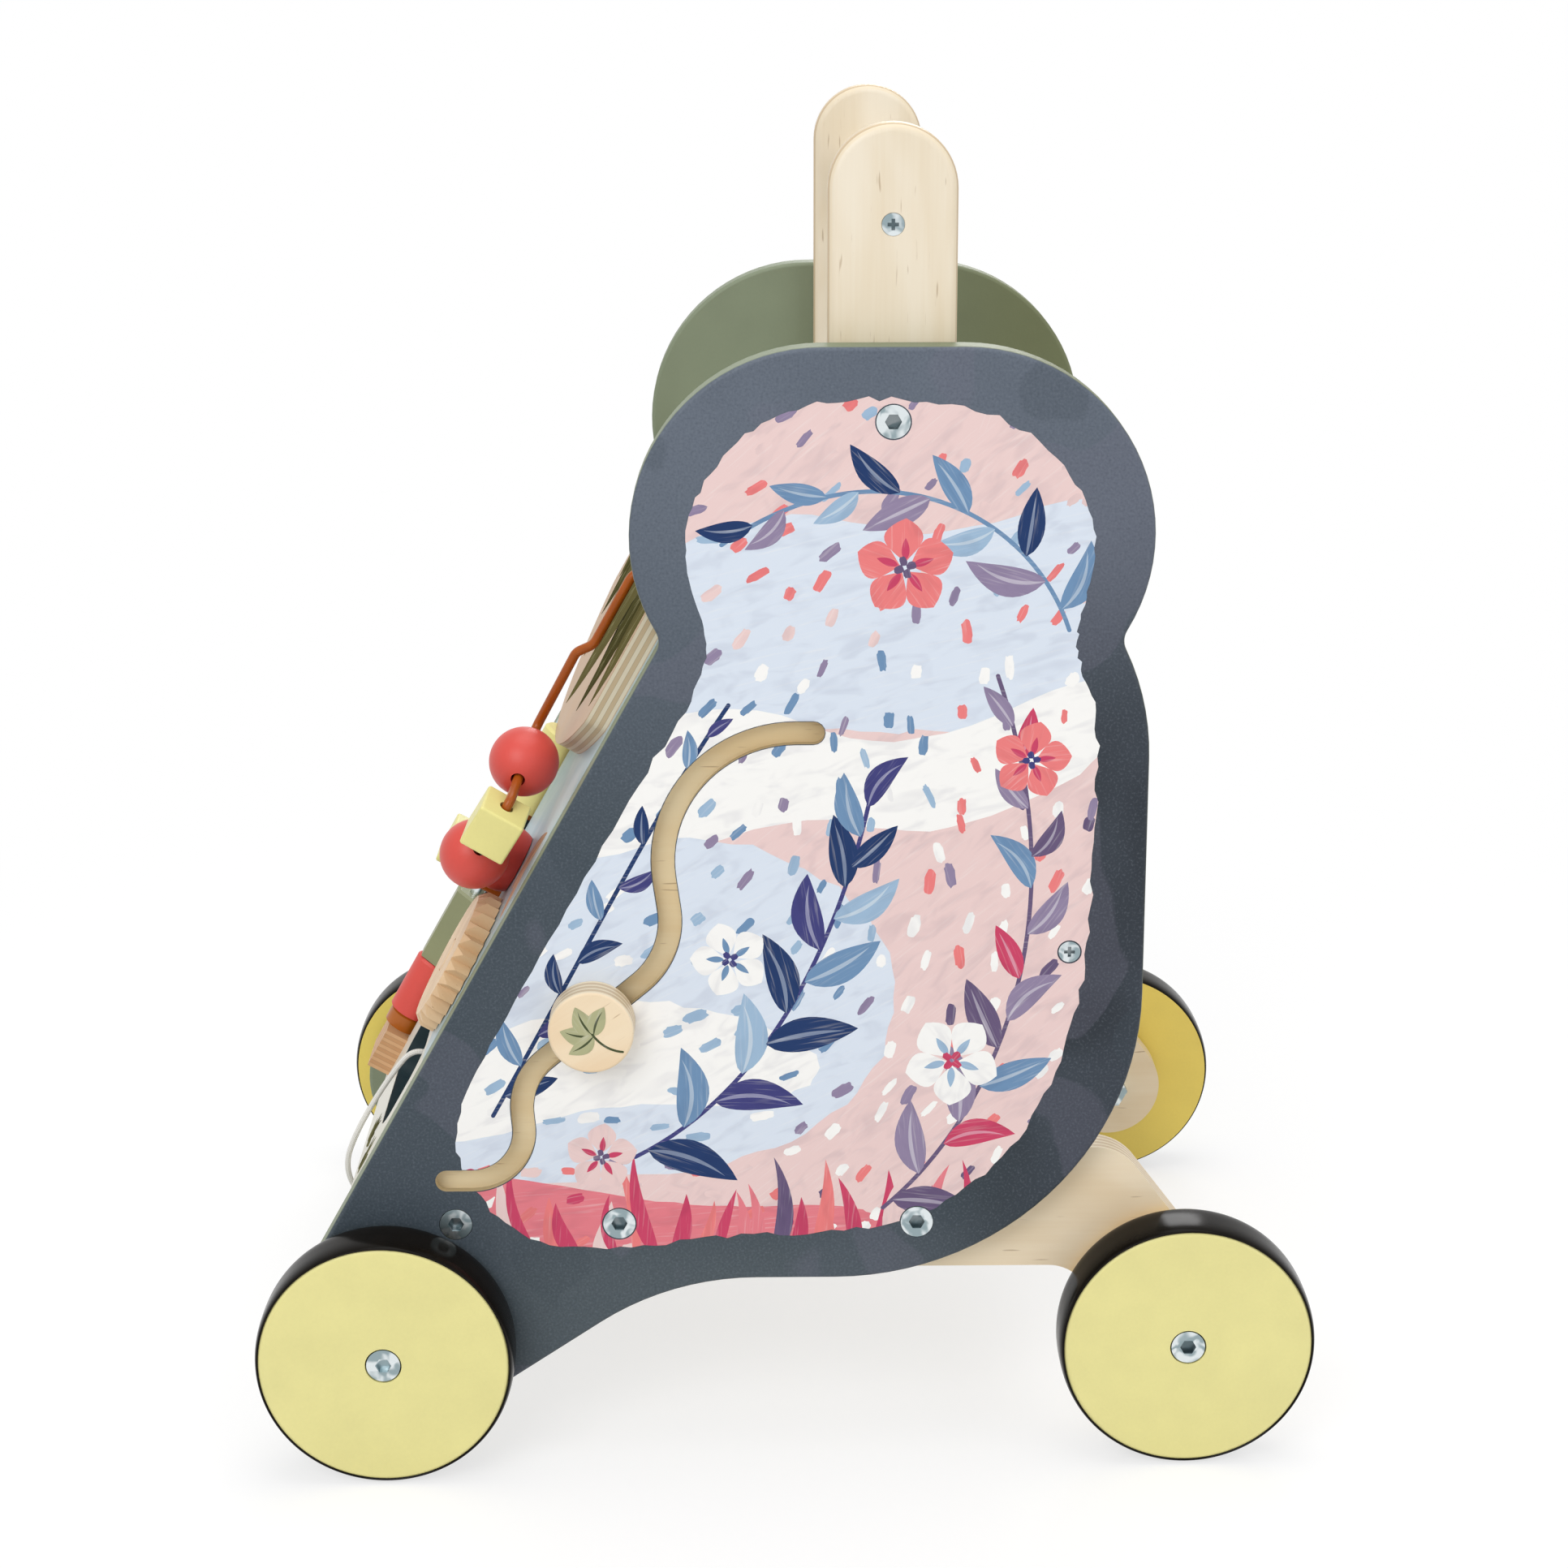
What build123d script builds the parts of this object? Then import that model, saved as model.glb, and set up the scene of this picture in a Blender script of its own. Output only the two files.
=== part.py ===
from build123d import *
import os
from math import asin, atan2, cos, degrees, hypot, radians, sin, tan

# Wooden push walker. X runs from the front to the child's end, Y from left to right, Z is up.
# The origin is on the floor, midway between the axles and between the side panels. Millimetres.

# Clearances
run_gap = 0.1  # radial gap of a turning fit
seat_gap = 0.05  # radial gap round a pin that is glued or screwed in
face_gap = 0.3  # between faces that slide past each other

# Wheels
wheelbase = 286.5
disc_radius = 44.5
tyre_height = 1.5
wheel_width = 19.0
front_width = 292.8  # over the outer faces of the front wheels
front_wheel_gap = 1.4  # from the front wheel to the side panel
rear_wheel_gap = 3.6  # from the rear wheel to the rail
disc_edge = 1.5
tyre_edge = 1.3
axle_radius = 4.0
bush_wall = 2.2
hub_recess_radius = 6.5
hub_recess_depth = 5.0
axle_head_radius = 6.0
axle_head_height = 4.5
axle_washer_radius = 10.0
axle_nut_flats = 13.0
axle_nut_height = 6.5

# Side panels, seen from the side
panel_thickness = 12.0
panel_edge = 1.5
handle_run = 178.95  # from the front axle back to the middle of the head, the shoulder and the arm
shoulder_z = 262.0
shoulder_radius = 89.0
head_z = 340.0
head_radius = 65.0
head_flat = 48.0
neck_radius = 7.0
lobe_radius = 38.0  # round the front axle
belly_z = 68.6
belly_radius = 107.5
arch_angle = 34.0
arch_radius = 100.0

# Track for the sliding knob
slot_width = 8.0
slot_lip = 3.0
undercut_width = 12.8
undercut_depth = 3.5
track_ahead = 26.7  # track's upper end, in front of the handle
track_start_z = 272.0
track_top_run = 6.0
track_top_bend = (46.0, 98.0)
track_drop = 11.0
track_upper_bend = (30.0, -58.0)
knob_run = 44.0
track_lower_bend = (24.0, 55.0)
track_step = 5.0
track_foot_bend = (19.0, -95.0)
track_foot_run = 9.0
knob_radius = 15.0
knob_thickness = 11.0
knob_edge = 1.2
stem_radius = 3.6
flange_radius = 6.0
flange_height = 2.9
stem_grip = 7.0

# Handle
arm_width = 43.6
arm_thickness = 12.0
arm_edge = 3.0
arm_top_z = 477.7
bar_radius = 11.0
bar_share = 0.65781  # bar's place between the arm's bolt and its top
arm_bolt_rise = 39.8  # above the middle of the panel's head
arm_dowel_radius = 4.0
arm_dowel_depth = 14.0

# Chassis rails and toy bin
rail_thickness = 12.0
rail_height = 46.0
rail_front_run = 13.25  # rail's nose, behind the front axle
rail_round_run = 33.25  # rail's round shoulder, in front of the rear axle
rail_round_radius = 20.0
rail_lobe_radius = 22.0
rail_notch_radius = 15.0
rail_nose_radius = 10.0
bolt_z = 90.4
bolt_runs = (24.95, 83.25, 189.45)  # behind the front axle
floor_thickness = 15.0
floor_nose = 9.7  # floor in front of the first bolt
back_run = 62.9  # rear wall, behind the handle
back_thickness = 12.0
back_top_z = 206.0
back_edge = 2.5
back_screw_z = 192.2

# Sloping front board: across is measured to the left, up along the slope
board_zero_z = 105.7
board_thickness = 9.0
board_low = -7.0
board_high = 262.0
plate_thickness = 8.0
plate_side = 6.0
plate_low = 150.0
plate_curve = 180.0
plate_corner = 6.0
board_dowel_radius = 3.0
board_dowel_half = 8.0
board_dowel_rows = (62.0, 200.0)

# Rollers on a rod in the board's long window
roller_across = 5.0
roller_radius = 8.5
roller_height = 3.5  # rod above the board's face
rod_radius = 2.5
rod_grip = 10.0
window_gap = 2.0
block_low = -3.4
block_length = 16.4
block_width = 26.0
block_height = 9.0
spacer_length = 6.5
red_length = 23.6
sage_length = 31.2
collar_low = 112.6
collar_length = 3.0
collar_radius = 5.0
roller_edge = 1.0

# Cord window
cord_window_inset = 9.0  # from the left panel
cord_window_width = 69.0
cord_window_up = (12.0, 47.0)
cord_window_corner = 12.0

# Toothed wheel
gear_inset = 29.0  # from the left panel
gear_up = 77.4
gear_radius = 27.0
gear_root_radius = 23.4
gear_teeth = 28
gear_thickness = 8.0
gear_bevel = 3.0
gear_pin_radius = 3.0
gear_cap_radius = 6.5
gear_cap_height = 3.0

# Bead wire and beads
wire_radius = 1.75
wire_seat_depth = 5.0
wire_corners = (  # distance from the left panel, up the slope, above the board
    (39.0, 236.0, 16.0),
    (39.0, 203.0, 16.0),
    (41.0, 197.0, 20.0),
    (50.0, 162.0, 18.8),
    (3.0, 148.0, 17.4),
    (7.5, 127.2, 18.0),
    (56.0, 98.0, 18.0),
)
wire_bends = (6.0, 6.0, 6.0, 5.0, 4.0, 4.0, 6.0)
upper_run, cube_run, lower_run = range(3, 6)  # the runs that leave these corners
ball_radius = 12.5
cube_side = 17.0
cube_edge = 1.0
bead_hole_radius = 2.6
upper_ball_at = 22.5  # along its run, as the next two
cube_at = 11.2
lower_ball_at = 16.6

# Pegs that turn in the board
peg_stem_radius = 4.0
peg_ring_radius = 8.0
peg_ring_height = 3.0
peg_ball_inset = 46.0  # from the left panel
peg_ball_up = 114.5
peg_ball_height = 6.2
peg_cube_place = (-35.0, 77.0)
peg_cube_rise = 5.0
peg_cube_collar = 6.0

# Pull cord, looped over the foot of the board
cord_radius = 1.05
cord_inset = 19.0  # from the left panel
cord_block_low = -4.0
cord_block_length = 13.0
cord_block_width = 18.0
cord_block_depth = 12.0
cord_route = (
    (9.0, -15.0),
    (24.0, -15.0),
    (38.0, -13.0),
    (45.0, -6.0),
    (43.0, 3.5),
    (31.0, 5.5),
    (17.0, 6.5),
    (3.0, 6.3),
    (-8.0, 4.5),
    (-15.5, -2.0),
    (-16.5, -10.0),
    (-12.0, -17.0),
    (-4.0, -17.0),
)

# Fasteners
bolt_radius = 3.0
bolt_head_radius = 5.75
bolt_head_height = 3.5
bolt_hole_gap = 0.2
hex_flats = 5.0
hex_depth = 2.4
barrel_radius = 5.0
barrel_length = 12.0
barrel_inset = 22.0
tee_flange_radius = 8.0
tee_flange_height = 1.5
tee_radius = 4.5
tee_length = 9.0
screw_radius = 2.0
screw_head_radius = 3.8
screw_head_height = 2.6
screw_depth = 25.0
cross_width = 1.2
cross_depth = 1.5

# Places that follow from the sizes above
tyre_radius = disc_radius + tyre_height
axle_z = tyre_radius
front_x = -wheelbase / 2
rear_x = wheelbase / 2
handle_x = front_x + handle_run
track_start = (handle_x - track_ahead, track_start_z)
bolt_columns = [front_x + run for run in bolt_runs]
rail_front_x = front_x + rail_front_run
rail_round_x = rear_x - rail_round_run
back_x = handle_x + back_run
arm_bolt_z = head_z + arm_bolt_rise
bar_z = arm_bolt_z + bar_share * (arm_top_z - arm_bolt_z)
panel_out = front_width / 2 - wheel_width - front_wheel_gap
panel_in = panel_out - panel_thickness
arm_in = panel_in - arm_thickness
rail_in = panel_in - rail_thickness
rear_out = panel_in + rear_wheel_gap + wheel_width
rail_low_z = bolt_z - rail_height / 2
rail_top_z = bolt_z + rail_height / 2
floor_top_z = bolt_z + floor_thickness / 2
arm_round_z = arm_top_z - arm_width / 2
gear_across = panel_in - gear_inset
wire_route = [(panel_in - inset, up, out) for inset, up, out in wire_corners]
peg_ball_place = (panel_in - peg_ball_inset, peg_ball_up)
cord_across = panel_in - cord_inset


def rise_angle():
    """Angle of the straight front edge from the vertical: it touches the shoulder and the lobe."""
    across = handle_x - front_x
    up = shoulder_z - axle_z
    return atan2(across, up) + asin((lobe_radius - shoulder_radius) / hypot(across, up))


lean = rise_angle()
front_normal = Vector(-cos(lean), 0, sin(lean))
up_slope = Vector(sin(lean), 0, cos(lean))
edge_reach = front_normal.X * handle_x + front_normal.Z * shoulder_z + shoulder_radius
board_zero = Vector((front_normal.Z * board_zero_z - edge_reach) / cos(lean), 0, board_zero_z)
board = Plane(origin=board_zero, x_dir=(0, -1, 0), z_dir=front_normal)


def place(across, up, out=0.0):
    """A point of the sloping board in the walker's frame."""
    return board.from_local_coords(Vector(across, up, out))


def on_board(sketch, low, high):
    """A sketch of the board raised from one height above its face to another."""
    return extrude(board.offset(low) * sketch, high - low)


def along_slope(across, out, low, high, sketch):
    """A sketch carried up the slope, between two distances along it."""
    start = Plane(origin=place(across, low, out), x_dir=(0, -1, 0), z_dir=up_slope)
    return extrude(start * sketch, high - low)


def left(sketch, near, far):
    """A side view raised on the left, between two distances from the middle."""
    return extrude(Plane.XZ.offset(near) * sketch, far - near)


def left_pin(x, z, radius, near, far):
    return left(Pos(x, z) * Circle(radius), near, far)


def right_of(part):
    return mirror(part, about=Plane.XZ)


def both(part):
    """A piece and its mirror image as one group of separate solids."""
    return Compound(children=[solid for side in (part, right_of(part)) for solid in side.solids()])


def group(parts):
    return Compound(children=[solid for part in parts for solid in part.solids()])


# Knob track, as a chain of runs and bends in the side view
track_chain = (
    (track_top_run, 0.0),
    track_top_bend,
    (track_drop, 0.0),
    track_upper_bend,
    (knob_run, 0.0),
    track_lower_bend,
    (track_step, 0.0),
    track_foot_bend,
    (track_foot_run, 0.0),
)
knob_link = 4


def track_edges():
    point = Vector(*track_start)
    heading = Vector(-1, 0)
    edges = []
    for size, turn in track_chain:
        if turn:
            edge = JernArc(point, heading, size, turn)
        else:
            edge = Line(point, point + heading * size)
        edges.append(edge)
        point = edge @ 1
        heading = edge % 1
    return edges


track = track_edges()
knob_place = track[knob_link] @ 0.5
knob_heading = track[knob_link] % 0.5


def track_face(width):
    ends = [track[0] @ 0, track[-1] @ 1]
    return trace(track, width) + [Pos(end.X, end.Y) * Circle(width / 2) for end in ends]


def panel_outline():
    """Rounded head over a wide shoulder, a straight front edge down to the wheel and an arched foot."""
    shoulder = Pos(handle_x, shoulder_z) * Circle(shoulder_radius)
    lobe = Pos(front_x, axle_z) * Circle(lobe_radius)
    belly_x = handle_x + shoulder_radius - belly_radius
    belly_mid_z = belly_z + belly_radius
    belly = Pos(belly_x, belly_mid_z) * Circle(belly_radius)
    head = Pos(handle_x, head_z) * SlotCenterToCenter(head_flat, 2 * head_radius)
    front = make_hull(shoulder.edges() + lobe.edges())
    rear = make_hull(shoulder.edges() + belly.edges())
    angle = radians(arch_angle)
    lobe_x = front_x + lobe_radius * sin(angle)
    lobe_z = axle_z - lobe_radius * cos(angle)
    arch_x = lobe_x + (belly_z - lobe_z) / tan(angle)
    corners = (
        (front_x, axle_z),
        (lobe_x, lobe_z),
        (arch_x, belly_z),
        (belly_x, belly_z),
        (belly_x, belly_mid_z),
        (handle_x, shoulder_z),
    )
    foot = make_face(Polyline(*corners, close=True))
    arch_corner = foot.vertices().sort_by_distance((arch_x, belly_z, 0))[0]
    foot = fillet(arch_corner, arch_radius)
    outline = head + front + rear + foot
    necks = [v for v in outline.vertices() if abs(v.Y - head_z) < head_radius and v.Y < head_z]
    lower_round = [v for v in necks if abs(abs(v.X - handle_x) - head_flat / 2) > head_radius / 2]
    return fillet(lower_round, neck_radius)


def side_panel():
    panel = left(panel_outline(), panel_in, panel_out)
    rims = [edge for edge in panel.edges() if abs(edge.center().Y + panel_out) < 0.01]
    rims += [edge for edge in panel.edges() if abs(edge.center().Y + panel_in) < 0.01]
    panel = fillet(rims, panel_edge)
    lip = panel_out - slot_lip
    panel -= left(track_face(slot_width), lip - undercut_depth, panel_out)
    panel -= left(track_face(undercut_width), lip - undercut_depth, lip)
    for x, z in panel_bolt_places():
        panel -= left_pin(x, z, bolt_radius + bolt_hole_gap, panel_in, panel_out)
        panel -= left_pin(x, z, bolt_head_radius + bolt_hole_gap, panel_out - bolt_head_height, panel_out)
    panel -= screw_hole(back_x, back_screw_z, panel_in, panel_out)
    panel -= left_pin(front_x, axle_z, axle_radius + seat_gap, panel_in, panel_out)
    for up in board_dowel_rows:
        panel -= board_dowel(up, board_dowel_radius + seat_gap, face_gap)
    return panel


# Fasteners

def panel_bolt_places():
    return [(handle_x, arm_bolt_z)] + [(x, bolt_z) for x in bolt_columns]


def socket_bolt(x, z, tip):
    """Flat-headed bolt with a hexagon socket, its head flush with the panel."""
    bolt = left_pin(x, z, bolt_radius, tip, panel_out)
    bolt += left_pin(x, z, bolt_head_radius, panel_out - bolt_head_height, panel_out)
    key = RegularPolygon(hex_flats / 2, 6, major_radius=False)
    return bolt - left(Pos(x, z) * key, panel_out - hex_depth, panel_out)


def screw_profile(x, z, face, gap):
    """Countersunk head of a wood screw below a face, and its shank through the board behind."""
    head = Plane.XZ.offset(face - screw_head_height) * Pos(x, z)
    cone = loft([head * Circle(screw_radius + gap), head * Pos(0, 0, screw_head_height)
                 * Circle(screw_head_radius + gap)])
    return cone


def screw_hole(x, z, near, face):
    return screw_profile(x, z, face, bolt_hole_gap) + left_pin(x, z, screw_radius + bolt_hole_gap, near, face)


def wood_screw(x, z, seat, face):
    """Cross-head screw through a board and on into the end of the piece behind it."""
    screw = screw_profile(x, z, face, 0.0) + left_pin(x, z, screw_radius, seat - screw_depth, face)
    cross = Rectangle(cross_width, screw_head_radius) + Rectangle(screw_head_radius, cross_width)
    return screw - left(Pos(x, z) * cross, face - cross_depth, face)


def board_dowel(up, radius, extra):
    """Dowel across the joint of the front board's edge and the side panel."""
    low = panel_in - board_dowel_half - extra
    high = panel_in + board_dowel_half + extra
    centre = place(0, up, -board_thickness / 2)
    return left_pin(centre.X, centre.Z, radius, low, high)


def barrel_nut(x, radius, extra):
    across = rail_in - barrel_inset
    base = bolt_z - barrel_length / 2
    return Pos(x, -across, base) * Cylinder(
        radius, barrel_length + extra, align=(Align.CENTER, Align.CENTER, Align.MIN)
    )


# Handle and chassis

def handle_arm():
    """Upright of plywood: round top, foot standing on the rail."""
    mid_z = (rail_top_z + arm_round_z) / 2
    blank = Pos(handle_x, mid_z) * Rectangle(arm_width, arm_round_z - rail_top_z)
    blank += Pos(handle_x, arm_round_z) * Circle(arm_width / 2)
    arm = left(blank, arm_in, panel_in)
    rims = [edge for edge in arm.edges() if abs(edge.center().Y + arm_in) < 0.01]
    rims += [edge for edge in arm.edges() if abs(edge.center().Y + panel_in) < 0.01]
    rims = [edge for edge in rims if edge.center().Z > rail_top_z + arm_edge]
    arm = fillet(rims, arm_edge)
    arm -= left_pin(handle_x, arm_bolt_z, bolt_radius + bolt_hole_gap, arm_in, panel_in)
    arm -= left_pin(handle_x, arm_bolt_z, tee_radius + seat_gap, arm_in, arm_in + tee_length + seat_gap)
    arm -= screw_hole(handle_x, bar_z, arm_in, panel_in)
    return arm - arm_dowel(arm_dowel_radius + seat_gap, face_gap)


def arm_dowel(radius, extra):
    middle = (arm_in + panel_in) / 2
    return Pos(handle_x, -middle, rail_top_z) * Cylinder(radius, 2 * (arm_dowel_depth + extra))


def handle_bar():
    bar = left_pin(handle_x, bar_z, bar_radius, -arm_in, arm_in)
    hole = left_pin(handle_x, bar_z, screw_radius + seat_gap, arm_in - screw_depth - face_gap, arm_in)
    return bar - hole - right_of(hole)


def tee_nut():
    """Flanged nut pressed into the arm from inside."""
    nut = left_pin(handle_x, arm_bolt_z, tee_radius, arm_in, arm_in + tee_length)
    nut += left_pin(handle_x, arm_bolt_z, tee_flange_radius, arm_in - tee_flange_height, arm_in)
    return nut - left_pin(handle_x, arm_bolt_z, bolt_radius + seat_gap, arm_in - tee_flange_height, panel_in)


def chassis_rail():
    """Long plywood rail inside the panel, dropping at the rear to a round lobe at the axle."""
    length = rail_round_x - rail_front_x
    bar = Pos(rail_front_x + length / 2, bolt_z) * Rectangle(length, rail_height)
    nose = [v for v in bar.vertices() if v.X < rail_front_x + rail_nose_radius]
    bar = fillet(nose, rail_nose_radius)
    shoulder = Pos(rail_round_x, rail_top_z - rail_round_radius) * Circle(rail_round_radius)
    lobe = Pos(rear_x, axle_z) * Circle(rail_lobe_radius)
    outline = bar + make_hull(shoulder.edges() + lobe.edges())
    notch = [v for v in outline.vertices() if abs(v.Y - rail_low_z) < 0.01]
    outline = fillet(notch[-1] if notch[-1].X > notch[0].X else notch[0], rail_notch_radius)
    rail = left(outline, rail_in, panel_in)
    for x in bolt_columns:
        rail -= left_pin(x, bolt_z, bolt_radius + bolt_hole_gap, rail_in, panel_in)
    rail -= left_pin(rear_x, axle_z, axle_radius + seat_gap, rail_in, panel_in)
    return rail - arm_dowel(arm_dowel_radius + seat_gap, face_gap)


def bin_floor():
    low_x = bolt_columns[0] - floor_nose
    high_x = back_x + back_thickness / 2
    floor = Pos((low_x + high_x) / 2, 0, bolt_z) * Box(high_x - low_x, 2 * rail_in, floor_thickness)
    for x in bolt_columns:
        reach = rail_in - barrel_inset - barrel_radius - face_gap
        hole = left_pin(x, bolt_z, bolt_radius + bolt_hole_gap, reach, rail_in)
        hole += barrel_nut(x, barrel_radius + seat_gap, face_gap)
        below = rail_in - barrel_inset
        shaft = bolt_z - floor_thickness / 2 - face_gap
        hole += Pos(x, -below, shaft) * Cylinder(
            barrel_radius + seat_gap, floor_thickness / 2, align=(Align.CENTER, Align.CENTER, Align.MIN)
        )
        floor -= hole
        floor -= right_of(hole)
    return floor


def bin_back():
    """Rear wall of the bin: full width on top of the rails, with a tongue down to the floor."""
    wall_height = back_top_z - rail_top_z
    wall = Pos(back_x, 0, rail_top_z + wall_height / 2) * Box(back_thickness, 2 * panel_in, wall_height)
    top = [edge for edge in wall.edges() if edge.center().Z > back_top_z - 0.01]
    wall = fillet([edge for edge in top if abs(edge.center().Y) < 0.01], back_edge)
    tongue_height = rail_top_z - floor_top_z
    wall += Pos(back_x, 0, floor_top_z + tongue_height / 2) * Box(back_thickness, 2 * rail_in, tongue_height)
    hole = left_pin(back_x, back_screw_z, screw_radius + seat_gap, panel_in - screw_depth - face_gap, panel_in)
    return wall - hole - right_of(hole)


# Sloping front board

def frame_of(low, high):
    """Rectangle between two corners, in the board's across and up."""
    size = (high[0] - low[0], high[1] - low[1])
    return Pos((low[0] + high[0]) / 2, (low[1] + high[1]) / 2) * Rectangle(*size)


def front_board():
    face = frame_of((-panel_in, board_low), (panel_in, board_high))
    side = roller_radius + window_gap
    window_low = block_low + block_length
    face -= frame_of((roller_across - side, window_low), (roller_across + side, plate_low))
    window_side = panel_in - cord_window_inset
    cord_low = (window_side - cord_window_width, cord_window_up[0])
    cord_high = (window_side, cord_window_up[1])
    cord_window = frame_of(cord_low, cord_high)
    face -= fillet(cord_window.vertices(), cord_window_corner)
    face -= Pos(gear_across, gear_up) * Circle(gear_pin_radius + seat_gap)
    face -= Pos(*peg_ball_place) * Circle(peg_stem_radius + run_gap)
    face -= Pos(*peg_cube_place) * Circle(peg_stem_radius + run_gap)
    body = on_board(face, -board_thickness, 0)
    foot = wire_route[-1]
    body -= on_board(Pos(foot[0], foot[1]) * Circle(wire_radius + seat_gap), -wire_seat_depth - seat_gap, 0)
    for up in board_dowel_rows:
        hole = board_dowel(up, board_dowel_radius + seat_gap, face_gap)
        body -= hole
        body -= right_of(hole)
    return body


def upper_plate():
    """Plywood plate on the board's upper half, its lower edge bowed downwards."""
    half = panel_in - plate_side
    blank = frame_of((-half, plate_low), (half, board_high))
    blank &= Pos(0, plate_low + plate_curve) * Circle(plate_curve)
    ends = [v for v in blank.vertices() if abs(abs(v.X) - half) < 0.01 and v.Y < board_high - plate_corner]
    blank = fillet(ends, plate_corner)
    head = wire_route[0]
    blank -= Pos(head[0], head[1]) * Circle(wire_radius + seat_gap)
    plate = on_board(blank, 0, plate_thickness)
    top = plate_low + rod_grip + face_gap
    return plate - along_slope(roller_across, roller_height, plate_low - face_gap, top, Circle(rod_radius + seat_gap))


def roller_rod():
    return along_slope(roller_across, roller_height, block_low, plate_low + rod_grip, Circle(rod_radius))


def rod_block():
    block = frame_of((roller_across - block_width / 2, block_low),
                     (roller_across + block_width / 2, block_low + block_length))
    block = on_board(block, 0, block_height)
    return block - along_slope(roller_across, roller_height, block_low, block_low + block_length,
                               Circle(rod_radius + seat_gap))


def roller(low, length, outline, gap):
    """A turned piece on the rod; the gap round the rod says whether it turns or is fixed."""
    body = along_slope(roller_across, roller_height, low, low + length, outline)
    body = chamfer(body.faces().filter_by(GeomType.PLANE).sort_by(Axis(place(0, 0), up_slope))[-1].edges(),
                   roller_edge)
    return body - along_slope(roller_across, roller_height, low, low + length, Circle(rod_radius + gap))


def gear_wheel():
    """Toothed wheel: pointed teeth, a bevelled upper rim and a recess for the pin's cap."""
    points = []
    for tooth in range(gear_teeth):
        for radius, shift in ((gear_radius, 0.0), (gear_root_radius, 0.5)):
            turn = radians(360.0 * (tooth + shift) / gear_teeth)
            points.append((radius * cos(turn), radius * sin(turn)))
    teeth = make_face(Polyline(*points, close=True))
    middle = Pos(gear_across, gear_up)
    wheel = on_board(middle * teeth, face_gap, face_gap + gear_thickness)
    base = board.offset(face_gap) * middle
    straight = gear_thickness - gear_bevel
    limit = extrude(base * Circle(gear_radius), straight)
    shrink = gear_radius - gear_bevel
    limit += loft([base * Pos(0, 0, straight) * Circle(gear_radius),
                   base * Pos(0, 0, gear_thickness) * Circle(shrink)])
    wheel = wheel & limit
    wheel -= on_board(middle * Circle(gear_pin_radius + run_gap), face_gap, face_gap + gear_thickness)
    seat = face_gap + gear_thickness - gear_cap_height
    return wheel - on_board(middle * Circle(gear_cap_radius + run_gap), seat, seat + gear_cap_height)


def gear_pin():
    """Pin in the board; its rounded cap lies in the wheel's recess, level with the wheel's face."""
    middle = Pos(gear_across, gear_up)
    under_cap = 2 * face_gap + gear_thickness - gear_cap_height
    pin = on_board(middle * Circle(gear_pin_radius), -board_thickness, under_cap)
    cap = on_board(middle * Circle(gear_cap_radius), under_cap, under_cap + gear_cap_height)
    return pin + fillet(cap.faces().sort_by(Axis(board_zero, front_normal))[-1].edges(), gear_cap_height / 2)


# Bead wire

def wire_points():
    head = (wire_route[0][0], wire_route[0][1], plate_thickness - wire_seat_depth)
    foot = (wire_route[-1][0], wire_route[-1][1], -wire_seat_depth)
    return [place(*point) for point in [head, *wire_route, foot]]


def tube(points, radii, radius):
    """Round bar along straight runs joined by tangent arcs."""
    path = FilletPolyline(*points, radius=list(radii))
    end = Plane(origin=path @ 0, z_dir=path % 0)
    return sweep(end * Circle(radius), path)


def bead_plane(run, distance):
    """Middle of a bead on one of the wire's straight runs, looking down the run."""
    start = place(*wire_route[run])
    chord = place(*wire_route[run + 1]) - start
    heading = chord.normalized()
    return Plane(origin=start + heading * distance, x_dir=front_normal.cross(heading), z_dir=heading)


def ball_bead(run, distance):
    middle = bead_plane(run, distance)
    hole = Cylinder(bead_hole_radius, 2 * ball_radius)
    return middle * (Sphere(ball_radius) - hole)


def cube_bead(run, distance):
    middle = bead_plane(run, distance)
    cube = Box(cube_side, cube_side, cube_side)
    cube = fillet(cube.edges(), cube_edge)
    return middle * (cube - Cylinder(bead_hole_radius, cube_side))


# Pegs

def peg_stem(spot):
    return on_board(Pos(*spot) * Circle(peg_stem_radius), -board_thickness - face_gap - peg_ring_height, face_gap)


def peg_ring(spot):
    low = -board_thickness - face_gap - peg_ring_height
    ring = Circle(peg_ring_radius) - Circle(peg_stem_radius + seat_gap)
    return on_board(Pos(*spot) * ring, low, -board_thickness - face_gap)


def peg_ball():
    centre = place(*peg_ball_place, peg_ball_height)
    ball = Pos(centre.X, centre.Y, centre.Z) * Sphere(ball_radius)
    above = on_board(Pos(*peg_ball_place) * Circle(2 * ball_radius), face_gap, 2 * ball_radius + peg_ball_height)
    return (ball & above) + peg_stem(peg_ball_place)


def peg_cube():
    spot = Pos(*peg_cube_place)
    cube = on_board(spot * Rectangle(cube_side, cube_side), peg_cube_rise, peg_cube_rise + cube_side)
    cube = fillet(cube.edges(), cube_edge)
    collar = on_board(spot * Circle(peg_cube_collar), face_gap, peg_cube_rise)
    return cube + collar + peg_stem(peg_cube_place)


# Pull cord

def cord_points():
    return [place(cord_across, up, out) for up, out in cord_route]


def cord_radii(points):
    """The largest arcs that the runs leave room for."""
    radii = []
    for before, point, after in zip(points, points[1:], points[2:]):
        arrive = point - before
        leave = after - point
        run = min(arrive.length, leave.length)
        radii.append(0.45 * run / tan(radians(arrive.get_angle(leave)) / 2))
    return radii


def cord_block():
    low = (cord_across - cord_block_width / 2, cord_block_low)
    high = (cord_across + cord_block_width / 2, cord_block_low + cord_block_length)
    return on_board(frame_of(low, high), -board_thickness - cord_block_depth, -board_thickness)


# Wheels, made at the left and mirrored

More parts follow.
